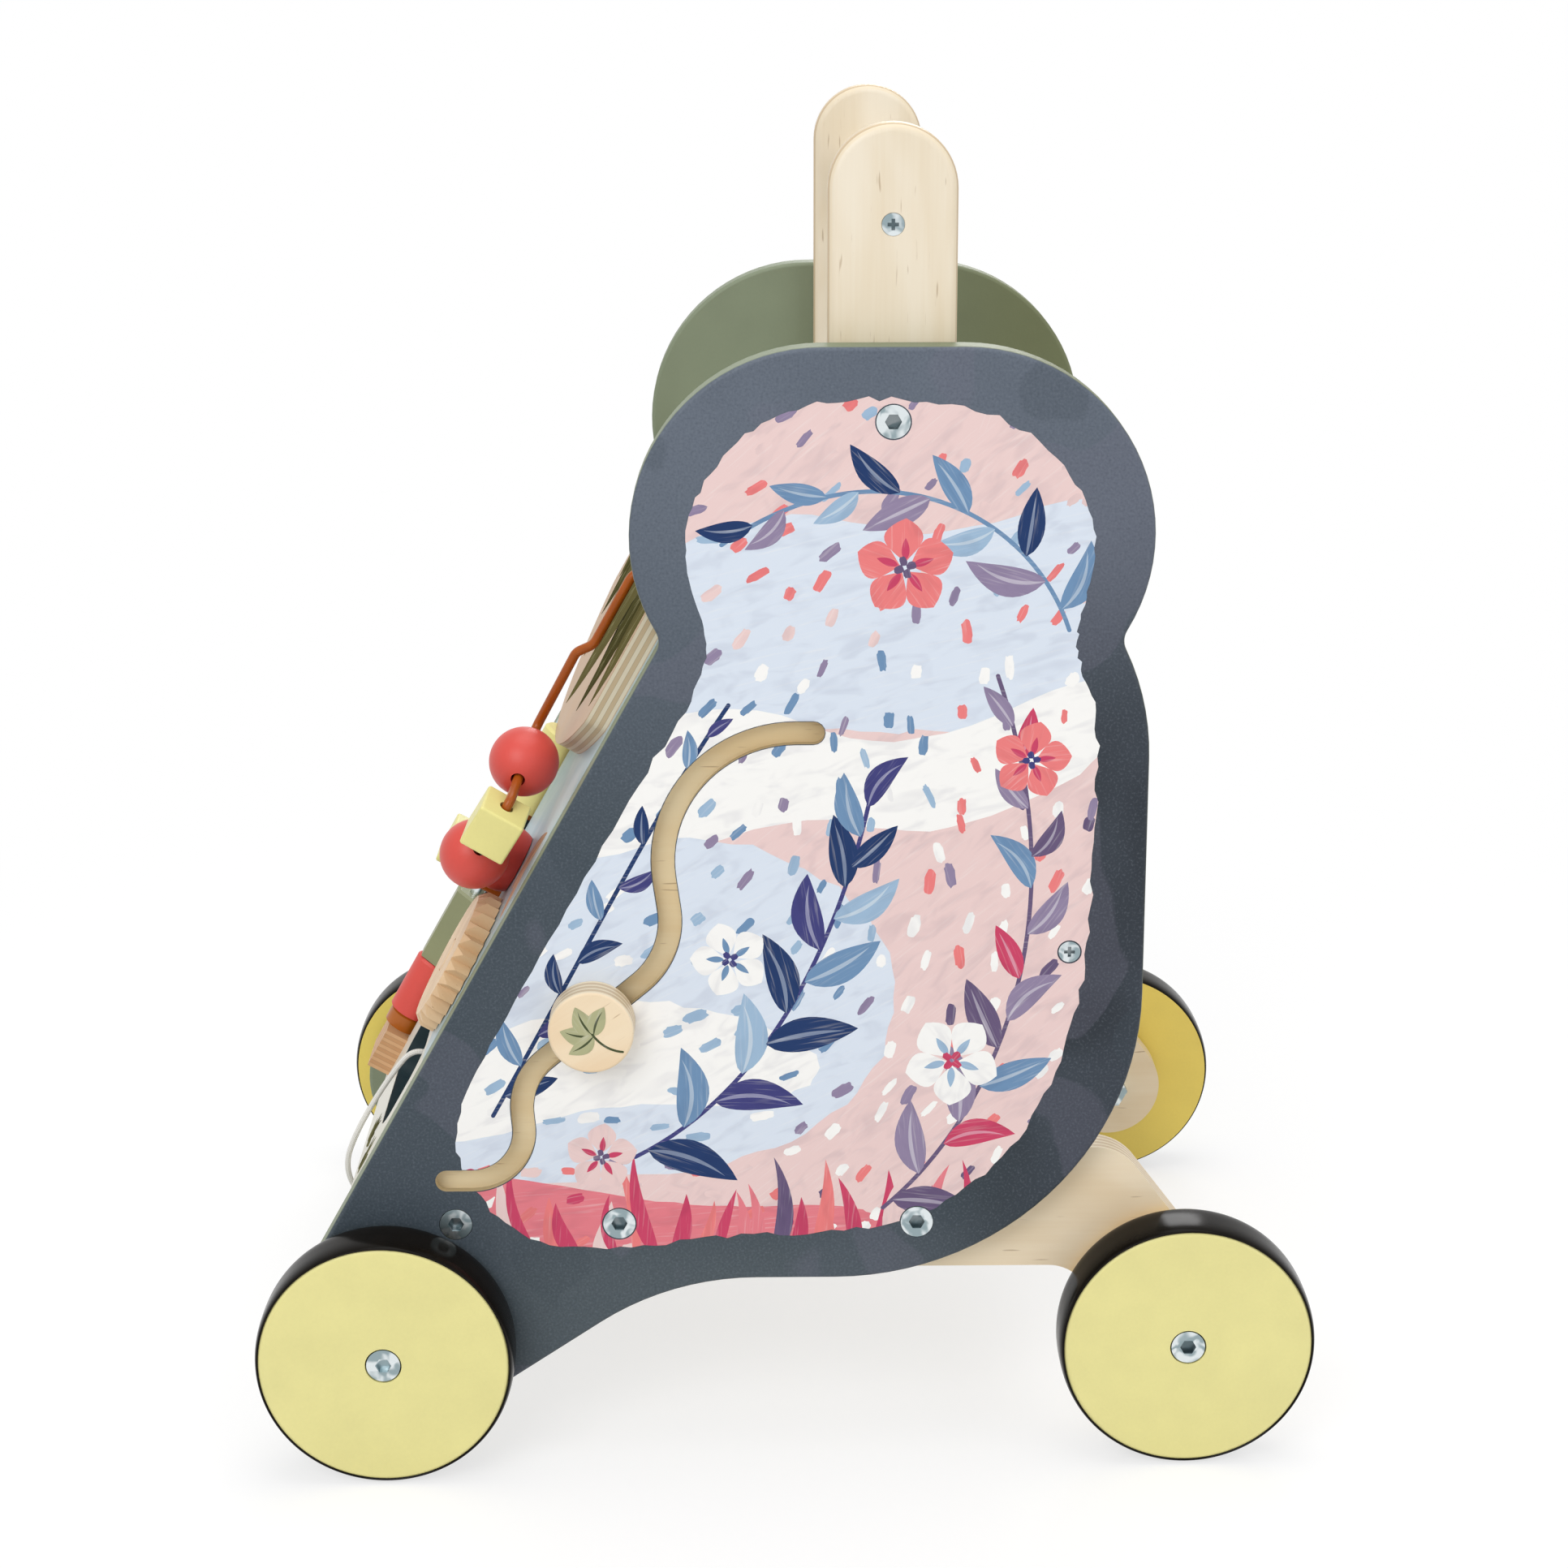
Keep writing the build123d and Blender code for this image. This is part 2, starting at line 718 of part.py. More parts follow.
def wheel_disc(x, out):
    near = out - wheel_width
    disc = left_pin(x, axle_z, disc_radius, near, out)
    outer = [edge for edge in disc.edges() if abs(edge.center().Y + out) < 0.01]
    disc = fillet(outer, disc_edge)
    disc -= left_pin(x, axle_z, axle_radius + run_gap + bush_wall, near, out)
    return disc - left_pin(x, axle_z, hub_recess_radius, out - hub_recess_depth, out)


def wheel_tyre(x, out):
    ring = Circle(tyre_radius) - Circle(disc_radius)
    tyre = left(Pos(x, axle_z) * ring, out - wheel_width, out)
    outside = [edge for edge in tyre.edges().filter_by(GeomType.CIRCLE) if edge.radius > disc_radius + 0.1]
    return fillet(outside, tyre_edge)


def wheel_bush(x, out):
    ring = Circle(axle_radius + run_gap + bush_wall) - Circle(axle_radius + run_gap)
    return left(Pos(x, axle_z) * ring, out - wheel_width, out - hub_recess_depth)


def axle_bolt(x, out, seat):
    """Shoulder bolt from the wheel's recess through the board that carries it."""
    under_head = out - hub_recess_depth + face_gap
    head_top = under_head + axle_head_height
    bolt = left_pin(x, axle_z, axle_radius, seat - axle_nut_height, under_head)
    bolt += left_pin(x, axle_z, axle_head_radius, under_head, head_top)
    key = RegularPolygon(hex_flats / 2, 6, major_radius=False)
    return bolt - left(Pos(x, axle_z) * key, head_top - hex_depth, head_top)


def axle_washer(x, seat, near):
    ring = Circle(axle_washer_radius) - Circle(axle_radius + seat_gap)
    return left(Pos(x, axle_z) * ring, seat, near - face_gap)


def axle_nut(x, seat):
    hexagon = RegularPolygon(axle_nut_flats / 2, 6, major_radius=False) - Circle(axle_radius + seat_gap)
    return left(Pos(x, axle_z) * hexagon, seat - axle_nut_height, seat)


# Knob in its track

def track_knob():
    low = panel_out + face_gap
    knob = left_pin(knob_place.X, knob_place.Y, knob_radius, low, low + knob_thickness)
    knob = fillet(knob.faces().sort_by(Axis.Y)[0].edges(), knob_edge)
    return knob - left_pin(knob_place.X, knob_place.Y, stem_radius + seat_gap, low, low + stem_grip)


def knob_stem():
    flange_top = panel_out - slot_lip - face_gap
    stem = left_pin(knob_place.X, knob_place.Y, stem_radius, flange_top, panel_out + face_gap + stem_grip)
    return stem + left_pin(knob_place.X, knob_place.Y, flange_radius, flange_top - flange_height, flange_top)


# All pieces by name
pieces = {}
panel = side_panel()
pieces["left_panel"] = panel
pieces["right_panel"] = right_of(panel)
arm = handle_arm()
pieces["left_arm"] = arm
pieces["right_arm"] = right_of(arm)
pieces["handle_bar"] = handle_bar()
rail = chassis_rail()
pieces["left_rail"] = rail
pieces["right_rail"] = right_of(rail)
pieces["bin_floor"] = bin_floor()
pieces["bin_back"] = bin_back()
pieces["front_board"] = front_board()
pieces["upper_plate"] = upper_plate()

bolt_tip = rail_in - barrel_inset - barrel_radius
bolts = [socket_bolt(handle_x, arm_bolt_z, arm_in)]
bolts += [socket_bolt(x, bolt_z, bolt_tip) for x in bolt_columns]
pieces["panel_bolts"] = both(group(bolts))
cross_hole = group([left_pin(x, bolt_z, bolt_radius + seat_gap, bolt_tip, rail_in) for x in bolt_columns])
nuts = [barrel_nut(x, barrel_radius, 0.0) for x in bolt_columns]
nuts = [nut - hole for nut, hole in zip(nuts, cross_hole.solids())]
pieces["barrel_nuts"] = both(group(nuts))
pieces["arm_tee_nuts"] = both(tee_nut())
pieces["handle_screws"] = both(wood_screw(handle_x, bar_z, arm_in, panel_in))
pieces["bin_screws"] = both(wood_screw(back_x, back_screw_z, panel_in, panel_out))
pieces["board_dowels"] = both(group([board_dowel(up, board_dowel_radius, 0.0) for up in board_dowel_rows]))
pieces["arm_dowels"] = both(arm_dowel(arm_dowel_radius, 0.0))

wheel_places = {"front": (front_x, front_width / 2, panel_in), "rear": (rear_x, rear_out, rail_in)}
axle_pieces = {"axle_bolts": [], "axle_washers": [], "axle_nuts": []}
for end, (x, out, seat) in wheel_places.items():
    for name, make in (("wheel", wheel_disc), ("tyre", wheel_tyre), ("bush", wheel_bush)):
        piece = make(x, out)
        pieces[f"{end}_left_{name}"] = piece
        pieces[f"{end}_right_{name}"] = right_of(piece)
    carrier = panel_out if end == "front" else panel_in
    axle_pieces["axle_bolts"].append(axle_bolt(x, out, seat))
    axle_pieces["axle_washers"].append(axle_washer(x, carrier, out - wheel_width))
    axle_pieces["axle_nuts"].append(axle_nut(x, seat))
for name, made in axle_pieces.items():
    pieces[name] = both(group(made))

pieces["left_knob"] = track_knob()
pieces["right_knob"] = right_of(pieces["left_knob"])
pieces["left_knob_stem"] = knob_stem()
pieces["right_knob_stem"] = right_of(pieces["left_knob_stem"])

pieces["roller_rod"] = roller_rod()
pieces["rod_block"] = rod_block()
spacer_low = block_low + block_length
red_low = spacer_low + spacer_length + face_gap
sage_low = red_low + red_length + face_gap
yellow_low = collar_low + collar_length + face_gap
round_face = Circle(roller_radius)
pieces["roller_spacer"] = roller(spacer_low, spacer_length, Circle(roller_radius - roller_edge), seat_gap)
pieces["red_roller"] = roller(red_low, red_length, round_face, run_gap)
pieces["sage_roller"] = roller(sage_low, sage_length, RegularPolygon(roller_radius, 6), run_gap)
pieces["rod_collar"] = roller(collar_low, collar_length, Circle(collar_radius), seat_gap)
pieces["yellow_roller"] = roller(yellow_low, plate_low - face_gap - yellow_low, round_face, run_gap)

pieces["gear_wheel"] = gear_wheel()
pieces["gear_pin"] = gear_pin()
pieces["bead_wire"] = tube(wire_points(), wire_bends, wire_radius)
pieces["upper_ball"] = ball_bead(upper_run, upper_ball_at)
pieces["cube_bead"] = cube_bead(cube_run, cube_at)
pieces["lower_ball"] = ball_bead(lower_run, lower_ball_at)
pieces["peg_ball"] = peg_ball()
pieces["peg_ball_ring"] = peg_ring(peg_ball_place)
pieces["peg_cube"] = peg_cube()
pieces["peg_cube_ring"] = peg_ring(peg_cube_place)

route = cord_points()
bends = cord_radii(route)
pieces["pull_cord"] = tube(route, bends, cord_radius)
pieces["cord_block"] = cord_block()

os.makedirs("parts", exist_ok=True)
for name, piece in pieces.items():
    export_step(piece, f"parts/{name}.step")

print("cord bend radii", [round(radius, 1) for radius in bends])
print("slope", [round(value, 5) for value in tuple(up_slope)], "front edge leans", round(degrees(lean), 3))
for run, distance in ((upper_run, upper_ball_at), (cube_run, cube_at), (lower_run, lower_ball_at)):
    spot = bead_plane(run, distance)
    print("bead at", [round(value, 3) for value in spot.origin], [round(value, 5) for value in spot.z_dir])
print("knob run", [round(value, 5) for value in tuple(knob_heading)], "from", knob_place)
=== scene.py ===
import bpy
import numpy as np
from mathutils import Matrix, Vector
from mathutils.geometry import delaunay_2d_cdt


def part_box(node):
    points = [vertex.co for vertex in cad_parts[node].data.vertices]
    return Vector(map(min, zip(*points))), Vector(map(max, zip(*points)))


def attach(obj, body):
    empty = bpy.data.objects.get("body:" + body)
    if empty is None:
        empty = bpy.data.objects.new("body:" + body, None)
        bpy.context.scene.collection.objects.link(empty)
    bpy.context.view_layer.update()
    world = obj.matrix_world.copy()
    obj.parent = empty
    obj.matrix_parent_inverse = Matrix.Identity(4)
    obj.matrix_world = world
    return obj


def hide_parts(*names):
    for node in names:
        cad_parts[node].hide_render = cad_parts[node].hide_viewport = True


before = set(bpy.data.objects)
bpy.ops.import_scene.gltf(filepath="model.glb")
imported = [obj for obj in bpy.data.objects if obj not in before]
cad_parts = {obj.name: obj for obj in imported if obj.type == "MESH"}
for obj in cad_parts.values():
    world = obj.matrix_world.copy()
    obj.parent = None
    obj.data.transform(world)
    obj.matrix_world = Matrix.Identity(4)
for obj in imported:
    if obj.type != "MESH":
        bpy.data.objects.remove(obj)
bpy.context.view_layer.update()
scene = bpy.context.scene
scene.view_settings.view_transform = "Standard"


# Camera: the walker is seen from its left side, from a little above the handle, with a long lens.
# The frame is shifted down so that the walker stands in the middle of the square picture.
eye = Vector((-0.01146, -1.082925, 0.544936))
yaw, pitch, roll = np.radians((0.629, 13.686, -0.0784))
sensor, picture_side, focal_pixels, axis_row = 36.0, 1932, 3578.47, 764.0
ahead = Vector((np.sin(yaw) * np.cos(pitch), np.cos(yaw) * np.cos(pitch), -np.sin(pitch)))
level = Vector((np.cos(yaw), -np.sin(yaw), 0.0))
rise = level.cross(ahead)
aside = level * np.cos(roll) + rise * np.sin(roll)
upright = rise * np.cos(roll) - level * np.sin(roll)
camera_data = bpy.data.cameras.new("camera")
camera_data.sensor_width = sensor
camera_data.lens = sensor * focal_pixels / picture_side
camera_data.shift_y = (axis_row - picture_side / 2.0) / picture_side
camera_data.clip_end = 50.0
camera = bpy.data.objects.new("camera", camera_data)
camera_pose = Matrix((aside, upright, -ahead)).transposed().to_4x4()
camera_pose.translation = eye
camera.matrix_world = camera_pose
scene.collection.objects.link(camera)
scene.camera = camera


# Pull cord: white cotton braided over a soft core, 2.1 mm thick. Both ends sit in the block behind
# the front board; the loop comes out of the window, lies down the board's face and goes round its foot.
mm, per_metre = 0.001, 1000.0
board_foot = np.array((-0.153449, 0.0, 0.105700))
board_across = np.array((0.0, -1.0, 0.0))
board_up = np.array((0.487326, 0.0, 0.873220))
board_out = np.array((-0.873220, 0.0, 0.487326))
cord_radius = 0.00105
cord_across = 95.0
cord_route = (
    (9.0, -15.0), (24.0, -15.0), (38.0, -13.0), (45.0, -6.0), (43.0, 3.5), (31.0, 5.5), (17.0, 6.5),
    (3.0, 6.3), (-8.0, 4.5), (-15.5, -2.0), (-16.5, -10.0), (-12.0, -17.0), (-4.0, -17.0),
)
cord_resolution, cord_columns = 90, 36
braid_pitch, braid_strands, braid_relief = 0.0042, 4.0, 0.05


def on_board(places):
    """Points of the sloping board: millimetres across, up and out from its foot, turned to the row frame."""
    return board_foot + np.asarray(places, float) * mm @ np.array((board_across, board_up, board_out))


def paint(red, green, blue):
    """A colour read off as 0 to 255, as the linear colour that a shader takes."""
    shown = np.array((red, green, blue)) / 255.0
    linear = np.where(shown <= 0.04045, shown / 12.92, ((shown + 0.055) / 1.055) ** 2.4)
    return (*linear.tolist(), 1.0)


def put(tree, kind, sockets=None, **settings):
    """Adds a node, sets its options, and fills its inputs with links or plain values."""
    made = tree.nodes.new(kind)
    for name, value in settings.items():
        setattr(made, name, value)
    for name, value in (sockets or {}).items():
        if isinstance(value, bpy.types.NodeSocket):
            tree.links.new(value, made.inputs[name])
        else:
            made.inputs[name].default_value = value
    return made


def new_finish(name, constants):
    """A material with a Principled shader: its tree, the shader, and the object coordinates."""
    material = bpy.data.materials.new(name)
    material.use_nodes = True
    tree = material.node_tree
    tree.nodes.clear()
    shader = put(tree, "ShaderNodeBsdfPrincipled", constants)
    put(tree, "ShaderNodeOutputMaterial", {"Surface": shader.outputs[0]})
    return material, tree, shader, tree.nodes.new("ShaderNodeTexCoord").outputs["Object"]


def calc(tree, operation, *values):
    """One step of arithmetic on values that change over the surface."""
    return put(tree, "ShaderNodeMath", dict(enumerate(values)), operation=operation).outputs[0]


def mixed(tree, amount, first, second, blend_type="MIX"):
    """Two colours mixed by an amount."""
    sockets = {0: amount, 6: first, 7: second}
    return put(tree, "ShaderNodeMix", sockets, data_type="RGBA", blend_type=blend_type).outputs[2]


def washed(tree, mask, strength, under, over):
    """A colour laid over another where a mask shows, at that strength at most."""
    return mixed(tree, calc(tree, "MULTIPLY", mask, strength), under, over)


def band(tree, value, low, high):
    """0 below low, 1 above high, and a smooth step between."""
    sockets = {"Value": value, "From Min": low, "From Max": high}
    return put(tree, "ShaderNodeMapRange", sockets, interpolation_type="SMOOTHSTEP").outputs[0]


def cloud(tree, vector, lumps, detail=2.0, distortion=0.0):
    """Noise with a number of lumps per metre, the same all round or one for each axis."""
    scale = np.broadcast_to(lumps, 3).tolist()
    stretched = put(tree, "ShaderNodeMapping", {"Vector": vector, "Scale": scale}).outputs[0]
    sockets = {"Vector": stretched, "Scale": 1.0, "Detail": detail, "Distortion": distortion}
    return put(tree, "ShaderNodeTexNoise", sockets).outputs[0]


def roughen(tree, shader, height, strength, depth):
    """A bump from a height that changes over the surface."""
    bump = put(tree, "ShaderNodeBump", {"Strength": strength, "Distance": depth, "Height": height})
    tree.links.new(bump.outputs[0], shader.inputs["Normal"])


def new_piece(name, points, faces):
    """An object in the scene with a mesh of its own, from points and the corners of each face."""
    mesh = bpy.data.meshes.new(name)
    mesh.from_pydata(points.tolist(), [], faces)
    made = bpy.data.objects.new(name, mesh)
    scene.collection.objects.link(made)
    return made


def closed_tube(name, rings):
    """A tube from rings of points, rows along and columns round: quads between rings, a fan over each end."""
    rows, columns = rings.shape[:2]
    grid = np.arange(rows * columns).reshape(rows, columns)
    right = np.roll(grid, -1, axis=1)
    sides = np.stack((grid[:-1], grid[1:], right[1:], right[:-1]), axis=-1).reshape(-1, 4)
    ends = rows * columns + np.repeat((0, 1), columns)
    caps = np.column_stack((ends, np.append(grid[0], right[-1]), np.append(right[0], grid[-1])))
    points = np.concatenate((rings.reshape(-1, 3), rings[[0, -1]].mean(axis=1)))
    return new_piece(name, points, sides.tolist() + caps.tolist())


cord_line = bpy.data.curves.new("cord_line", "CURVE")
cord_line.dimensions = "3D"
cord_spline = cord_line.splines.new("NURBS")
cord_spline.points.add(len(cord_route) - 1)
cord_points = on_board(np.insert(cord_route, 0, cord_across, axis=1))
cord_spline.points.foreach_set("co", np.column_stack((cord_points, np.ones(len(cord_route)))).ravel())
cord_spline.order_u = 3
cord_spline.use_endpoint_u = True
cord_spline.resolution_u = cord_resolution
cord_guide = bpy.data.objects.new("cord_guide", cord_line)
cord_trace = bpy.data.meshes.new_from_object(cord_guide)
cord_path = np.empty(len(cord_trace.vertices) * 3)
cord_trace.vertices.foreach_get("co", cord_path)
cord_path = cord_path.reshape(-1, 3)
bpy.data.objects.remove(cord_guide)
bpy.data.meshes.remove(cord_trace)

# The braid stands proud where two lays of strands, one to the right and one to the left, cross each other.
cord_steps = np.linalg.norm(np.diff(cord_path, axis=0), axis=1)
cord_run = np.insert(np.cumsum(cord_steps), 0, 0.0)
cord_heading = np.gradient(cord_path, axis=0)
cord_heading /= np.linalg.norm(cord_heading, axis=1, keepdims=True)
cord_side = np.cross(cord_heading, board_across)
cord_angle = np.linspace(0.0, 2.0 * np.pi, cord_columns, endpoint=False)
lay_right = braid_strands * (cord_angle + 2.0 * np.pi * cord_run[:, None] / braid_pitch)
lay_left = braid_strands * (cord_angle - 2.0 * np.pi * cord_run[:, None] / braid_pitch)
braid = np.cos(lay_right) * np.cos(lay_left)
reach = cord_radius * (1.0 - braid_relief + braid_relief * braid)
around = np.cos(cord_angle)[:, None] * cord_side[:, None] + np.sin(cord_angle)[:, None] * board_across
pull_cord = closed_tube("pull_cord_braid", cord_path[:, None] + reach[..., None] * around)
pull_cord.data.shade_smooth()
braid_height = pull_cord.data.attributes.new("braid", "FLOAT", "POINT")
braid_height.data.foreach_set("value", np.append(braid.ravel(), (0.0, 0.0)).astype(np.float32))

cotton, tree, shader, coords = new_finish("white_cotton", {"Roughness": 0.85, "Sheen Weight": 0.25})
strand = put(tree, "ShaderNodeAttribute", attribute_name="braid").outputs["Fac"]
fluff = cloud(tree, coords, 2600.0)
# Painted shade: the cotton is painted darker in the hollows between the raised strands of the braid.
cotton_with_hollow_shade = mixed(tree, band(tree, strand, -0.9, 0.3), paint(204, 201, 192), paint(244, 243, 238))
cotton_with_hollow_shade = washed(tree, fluff, 0.18, cotton_with_hollow_shade, paint(214, 208, 196))
tree.links.new(cotton_with_hollow_shade, shader.inputs["Base Color"])
roughen(tree, shader, fluff, 0.25, 0.0001)
pull_cord.data.materials.append(cotton)
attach(pull_cord, "frame")
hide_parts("pull_cord")


# Studio: a pale floor that keeps the walker's soft shadow and fades to white, a plain white surround,
# a large lamp high in front, a broad fill from the rear side, one overhead and a small one behind.
floor_half, floor_level = 4.0, -0.0003
fade_from, fade_to = 0.32, 0.75
plain_white = (1.0, 1.0, 1.0, 1.0)
floor_tone, bounce_tone = (0.34, 0.34, 0.34, 1.0), (0.75, 0.75, 0.75, 1.0)
lamp_aim = Vector((0.0, 0.0, 0.2))
lamps = (
    ("key_lamp", (-0.9, -2.0, 1.7), 1.5, 27.5),
    ("fill_lamp", (1.6, -1.5, 0.9), 1.6, 9.5),
    ("top_lamp", (0.1, 0.1, 2.2), 1.6, 16.0),
    ("rear_lamp", (0.35, 2.1, 1.35), 0.7, 10.0),
)


def seen_directly(tree):
    """1 for rays from the camera, a glossy or a clear surface, 0 for light on its way round the room."""
    rays = tree.nodes.new("ShaderNodeLightPath").outputs
    seen = calc(tree, "MAXIMUM", rays["Is Camera Ray"], rays["Is Glossy Ray"])
    return calc(tree, "MAXIMUM", seen, rays["Is Transmission Ray"])


floor_corners = np.array(((-1, -1), (1, -1), (1, 1), (-1, 1))) * floor_half
studio_floor = new_piece("studio_floor", np.insert(floor_corners, 2, floor_level, axis=1), [(0, 1, 2, 3)])
floor_finish = bpy.data.materials.new("pale_floor")
floor_finish.use_nodes = True
tree = floor_finish.node_tree
tree.nodes.clear()
coords = tree.nodes.new("ShaderNodeTexCoord").outputs["Object"]
distance = put(tree, "ShaderNodeVectorMath", {0: coords}, operation="LENGTH").outputs["Value"]
far = band(tree, distance, fade_from, fade_to)
matt = put(tree, "ShaderNodeBsdfDiffuse", {"Color": floor_tone}).outputs[0]
glow = put(tree, "ShaderNodeEmission", {"Color": plain_white, "Strength": 0.69}).outputs[0]
near_floor = put(tree, "ShaderNodeAddShader", {0: matt, 1: glow}).outputs[0]
white = put(tree, "ShaderNodeEmission", {"Color": plain_white, "Strength": 1.0}).outputs[0]
seen_floor = put(tree, "ShaderNodeMixShader", {0: far, 1: near_floor, 2: white}).outputs[0]
bounce = put(tree, "ShaderNodeBsdfDiffuse", {"Color": bounce_tone}).outputs[0]
floor_shader = put(tree, "ShaderNodeMixShader", {0: seen_directly(tree), 1: bounce, 2: seen_floor}).outputs[0]
put(tree, "ShaderNodeOutputMaterial", {"Surface": floor_shader})
studio_floor.data.materials.append(floor_finish)

scene.world = bpy.data.worlds.new("white_surround")
scene.world.use_nodes = True
tree = scene.world.node_tree
tree.nodes.clear()
level_light = put(tree, "ShaderNodeBackground", {"Color": plain_white, "Strength": 0.42}).outputs[0]
white = put(tree, "ShaderNodeBackground", {"Color": plain_white, "Strength": 1.0}).outputs[0]
surround = put(tree, "ShaderNodeMixShader", {0: seen_directly(tree), 1: level_light, 2: white}).outputs[0]
put(tree, "ShaderNodeOutputWorld", {"Surface": surround})

for name, where, size, power in lamps:
    lamp_data = bpy.data.lights.new(name, "AREA")
    lamp_data.size = size
    lamp_data.energy = power
    lamp = bpy.data.objects.new(name, lamp_data)
    lamp.location = where
    lamp.rotation_euler = (lamp_aim - Vector(where)).to_track_quat("-Z", "Y").to_euler()
    scene.collection.objects.link(lamp)


# Side panels: 12 mm board, routed to shape. The outer face is printed slate with watery darker and
# violet patches and a fine grain, with painted shade darkening it towards the rear; the edges and the inner
# face are olive lacquer, with painted shade darkening them towards the rear; the track is bare wood, with
# painted shade on its walls.
panel_in, panel_thickness = 0.114, 0.012
olive = paint(130, 140, 115)
track_bare = {"Pale": paint(255, 239, 200), "Dark": paint(246, 223, 176)}


def effect(name, takes, gives):
    """A shader node group with named sockets: its tree, its input's outputs and its output's inputs."""
    tree = bpy.data.node_groups.new(name, "ShaderNodeTree")
    for socket, kind in takes.items():
        tree.interface.new_socket(socket, in_out="INPUT", socket_type=f"NodeSocket{kind}")
    for socket, kind in gives.items():
        tree.interface.new_socket(socket, in_out="OUTPUT", socket_type=f"NodeSocket{kind}")
    return tree, tree.nodes.new("NodeGroupInput").outputs, tree.nodes.new("NodeGroupOutput").inputs


def use(tree, group, **sockets):
    """The outputs of a shared effect, fed with links or plain values."""
    return put(tree, "ShaderNodeGroup", sockets, node_tree=group).outputs


def coat(tree, shader, colour, roughness):
    """Links a colour and a roughness that change over the surface to the shader."""
    tree.links.new(colour, shader.inputs["Base Color"])
    tree.links.new(roughness, shader.inputs["Roughness"])


def along_axis(tree, vector, axis):
    """How far a vector reaches along an axis."""
    sockets = {0: vector, 1: np.asarray(axis).tolist()}
    return put(tree, "ShaderNodeVectorMath", sockets, operation="DOT_PRODUCT").outputs["Value"]


def from_foot(tree, coords, axis):
    """How far a point lies from the front board's foot along one of the board's own axes."""
    sockets = {0: coords, 1: board_foot.tolist()}
    off_foot = put(tree, "ShaderNodeVectorMath", sockets, operation="SUBTRACT").outputs[0]
    return along_axis(tree, off_foot, axis)


def off_middle(tree, coords):
    """How far a point lies from the walker's middle plane, on either side."""
    return calc(tree, "ABSOLUTE", put(tree, "ShaderNodeSeparateXYZ", {0: coords}).outputs["Y"])


def within(tree, *tests):
    """1 where every test holds, 0 elsewhere; a test is an operation, a value and its limit."""
    first, *others = [calc(tree, *test) for test in tests]
    for other in others:
        first = calc(tree, "MULTIPLY", first, other)
    return first


def dress(material, *names):
    """Gives CAD nodes this finish through their own material slots."""
    for name in names:
        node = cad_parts[name]
        if not node.material_slots:
            node.data.materials.append(material)
        for slot in node.material_slots:
            slot.material = material


# Grain: long fibres, a broad figure, and short brown flecks, all running along the first axis.
wood_grain, taken, given = effect(
    "wood_grain", {"Vector": "Vector", "Pale": "Color", "Dark": "Color"},
    {"Color": "Color", "Height": "Float"})
tree = wood_grain
fibre = cloud(tree, taken["Vector"], (22.0, 800.0, 800.0), 4.0)
figure = cloud(tree, taken["Vector"], (9.0, 32.0, 32.0), 2.0, 1.5)
fleck = band(tree, cloud(tree, taken["Vector"], (75.0, 800.0, 800.0), 1.0), 0.70, 0.79)
tone = calc(tree, "ADD", calc(tree, "MULTIPLY", fibre, 0.16), calc(tree, "MULTIPLY", figure, 0.84))
grain_colour = mixed(tree, band(tree, tone, 0.30, 0.74), taken["Pale"], taken["Dark"])
fleck_colour = mixed(tree, 1.0, taken["Dark"], (0.55, 0.45, 0.36, 1.0), "MULTIPLY")
tree.links.new(washed(tree, fleck, 0.65, grain_colour, fleck_colour), given["Color"])
tree.links.new(fibre, given["Height"])

# Ply edge: alternate pale and darker layers with thin glue lines, counted through the board's depth.
ply_edge, taken, given = effect(
    "ply_edge", {"Depth": "Float", "Layers": "Float", "Pale": "Color", "Dark": "Color"},
    {"Color": "Color", "Edge": "Float"})
tree = ply_edge
layer = calc(tree, "MULTIPLY", taken["Depth"], taken["Layers"])
cross = band(tree, calc(tree, "FRACT", calc(tree, "MULTIPLY", layer, 0.5)), 0.47, 0.53)
ply_colour = mixed(tree, cross, taken["Pale"], taken["Dark"])
through_layer = calc(tree, "FRACT", calc(tree, "ADD", layer, 0.5))
to_glue = calc(tree, "ABSOLUTE", calc(tree, "SUBTRACT", through_layer, 0.5))
glue = calc(tree, "SUBTRACT", 1.0, band(tree, to_glue, 0.02, 0.09))
inward = calc(tree, "MINIMUM", taken["Depth"], calc(tree, "SUBTRACT", 1.0, taken["Depth"]))
tree.links.new(washed(tree, glue, 0.38, ply_colour, paint(122, 88, 58)), given["Color"])
tree.links.new(band(tree, inward, 0.02, 0.05), given["Edge"])

# Painted skin: sprayed colour that pools a little, over the faint rise of the wood below.
painted_skin, taken, given = effect(
    "painted_skin", {"Vector": "Vector", "Color": "Color"},
    {"Color": "Color", "Height": "Float", "Roughness": "Float"})
tree = painted_skin
pool = cloud(tree, taken["Vector"], 48.0)
peel = cloud(tree, taken["Vector"], 850.0)
lightness = calc(tree, "ADD", calc(tree, "MULTIPLY", pool, 0.16), calc(tree, "MULTIPLY", peel, 0.05))
lightness = calc(tree, "ADD", lightness, 0.895)
tree.links.new(mixed(tree, 1.0, taken["Color"], lightness, "MULTIPLY"), given["Color"])
tree.links.new(calc(tree, "MULTIPLY_ADD", pool, 0.4, peel), given["Height"])
tree.links.new(calc(tree, "MULTIPLY_ADD", pool, 0.18, 0.28), given["Roughness"])

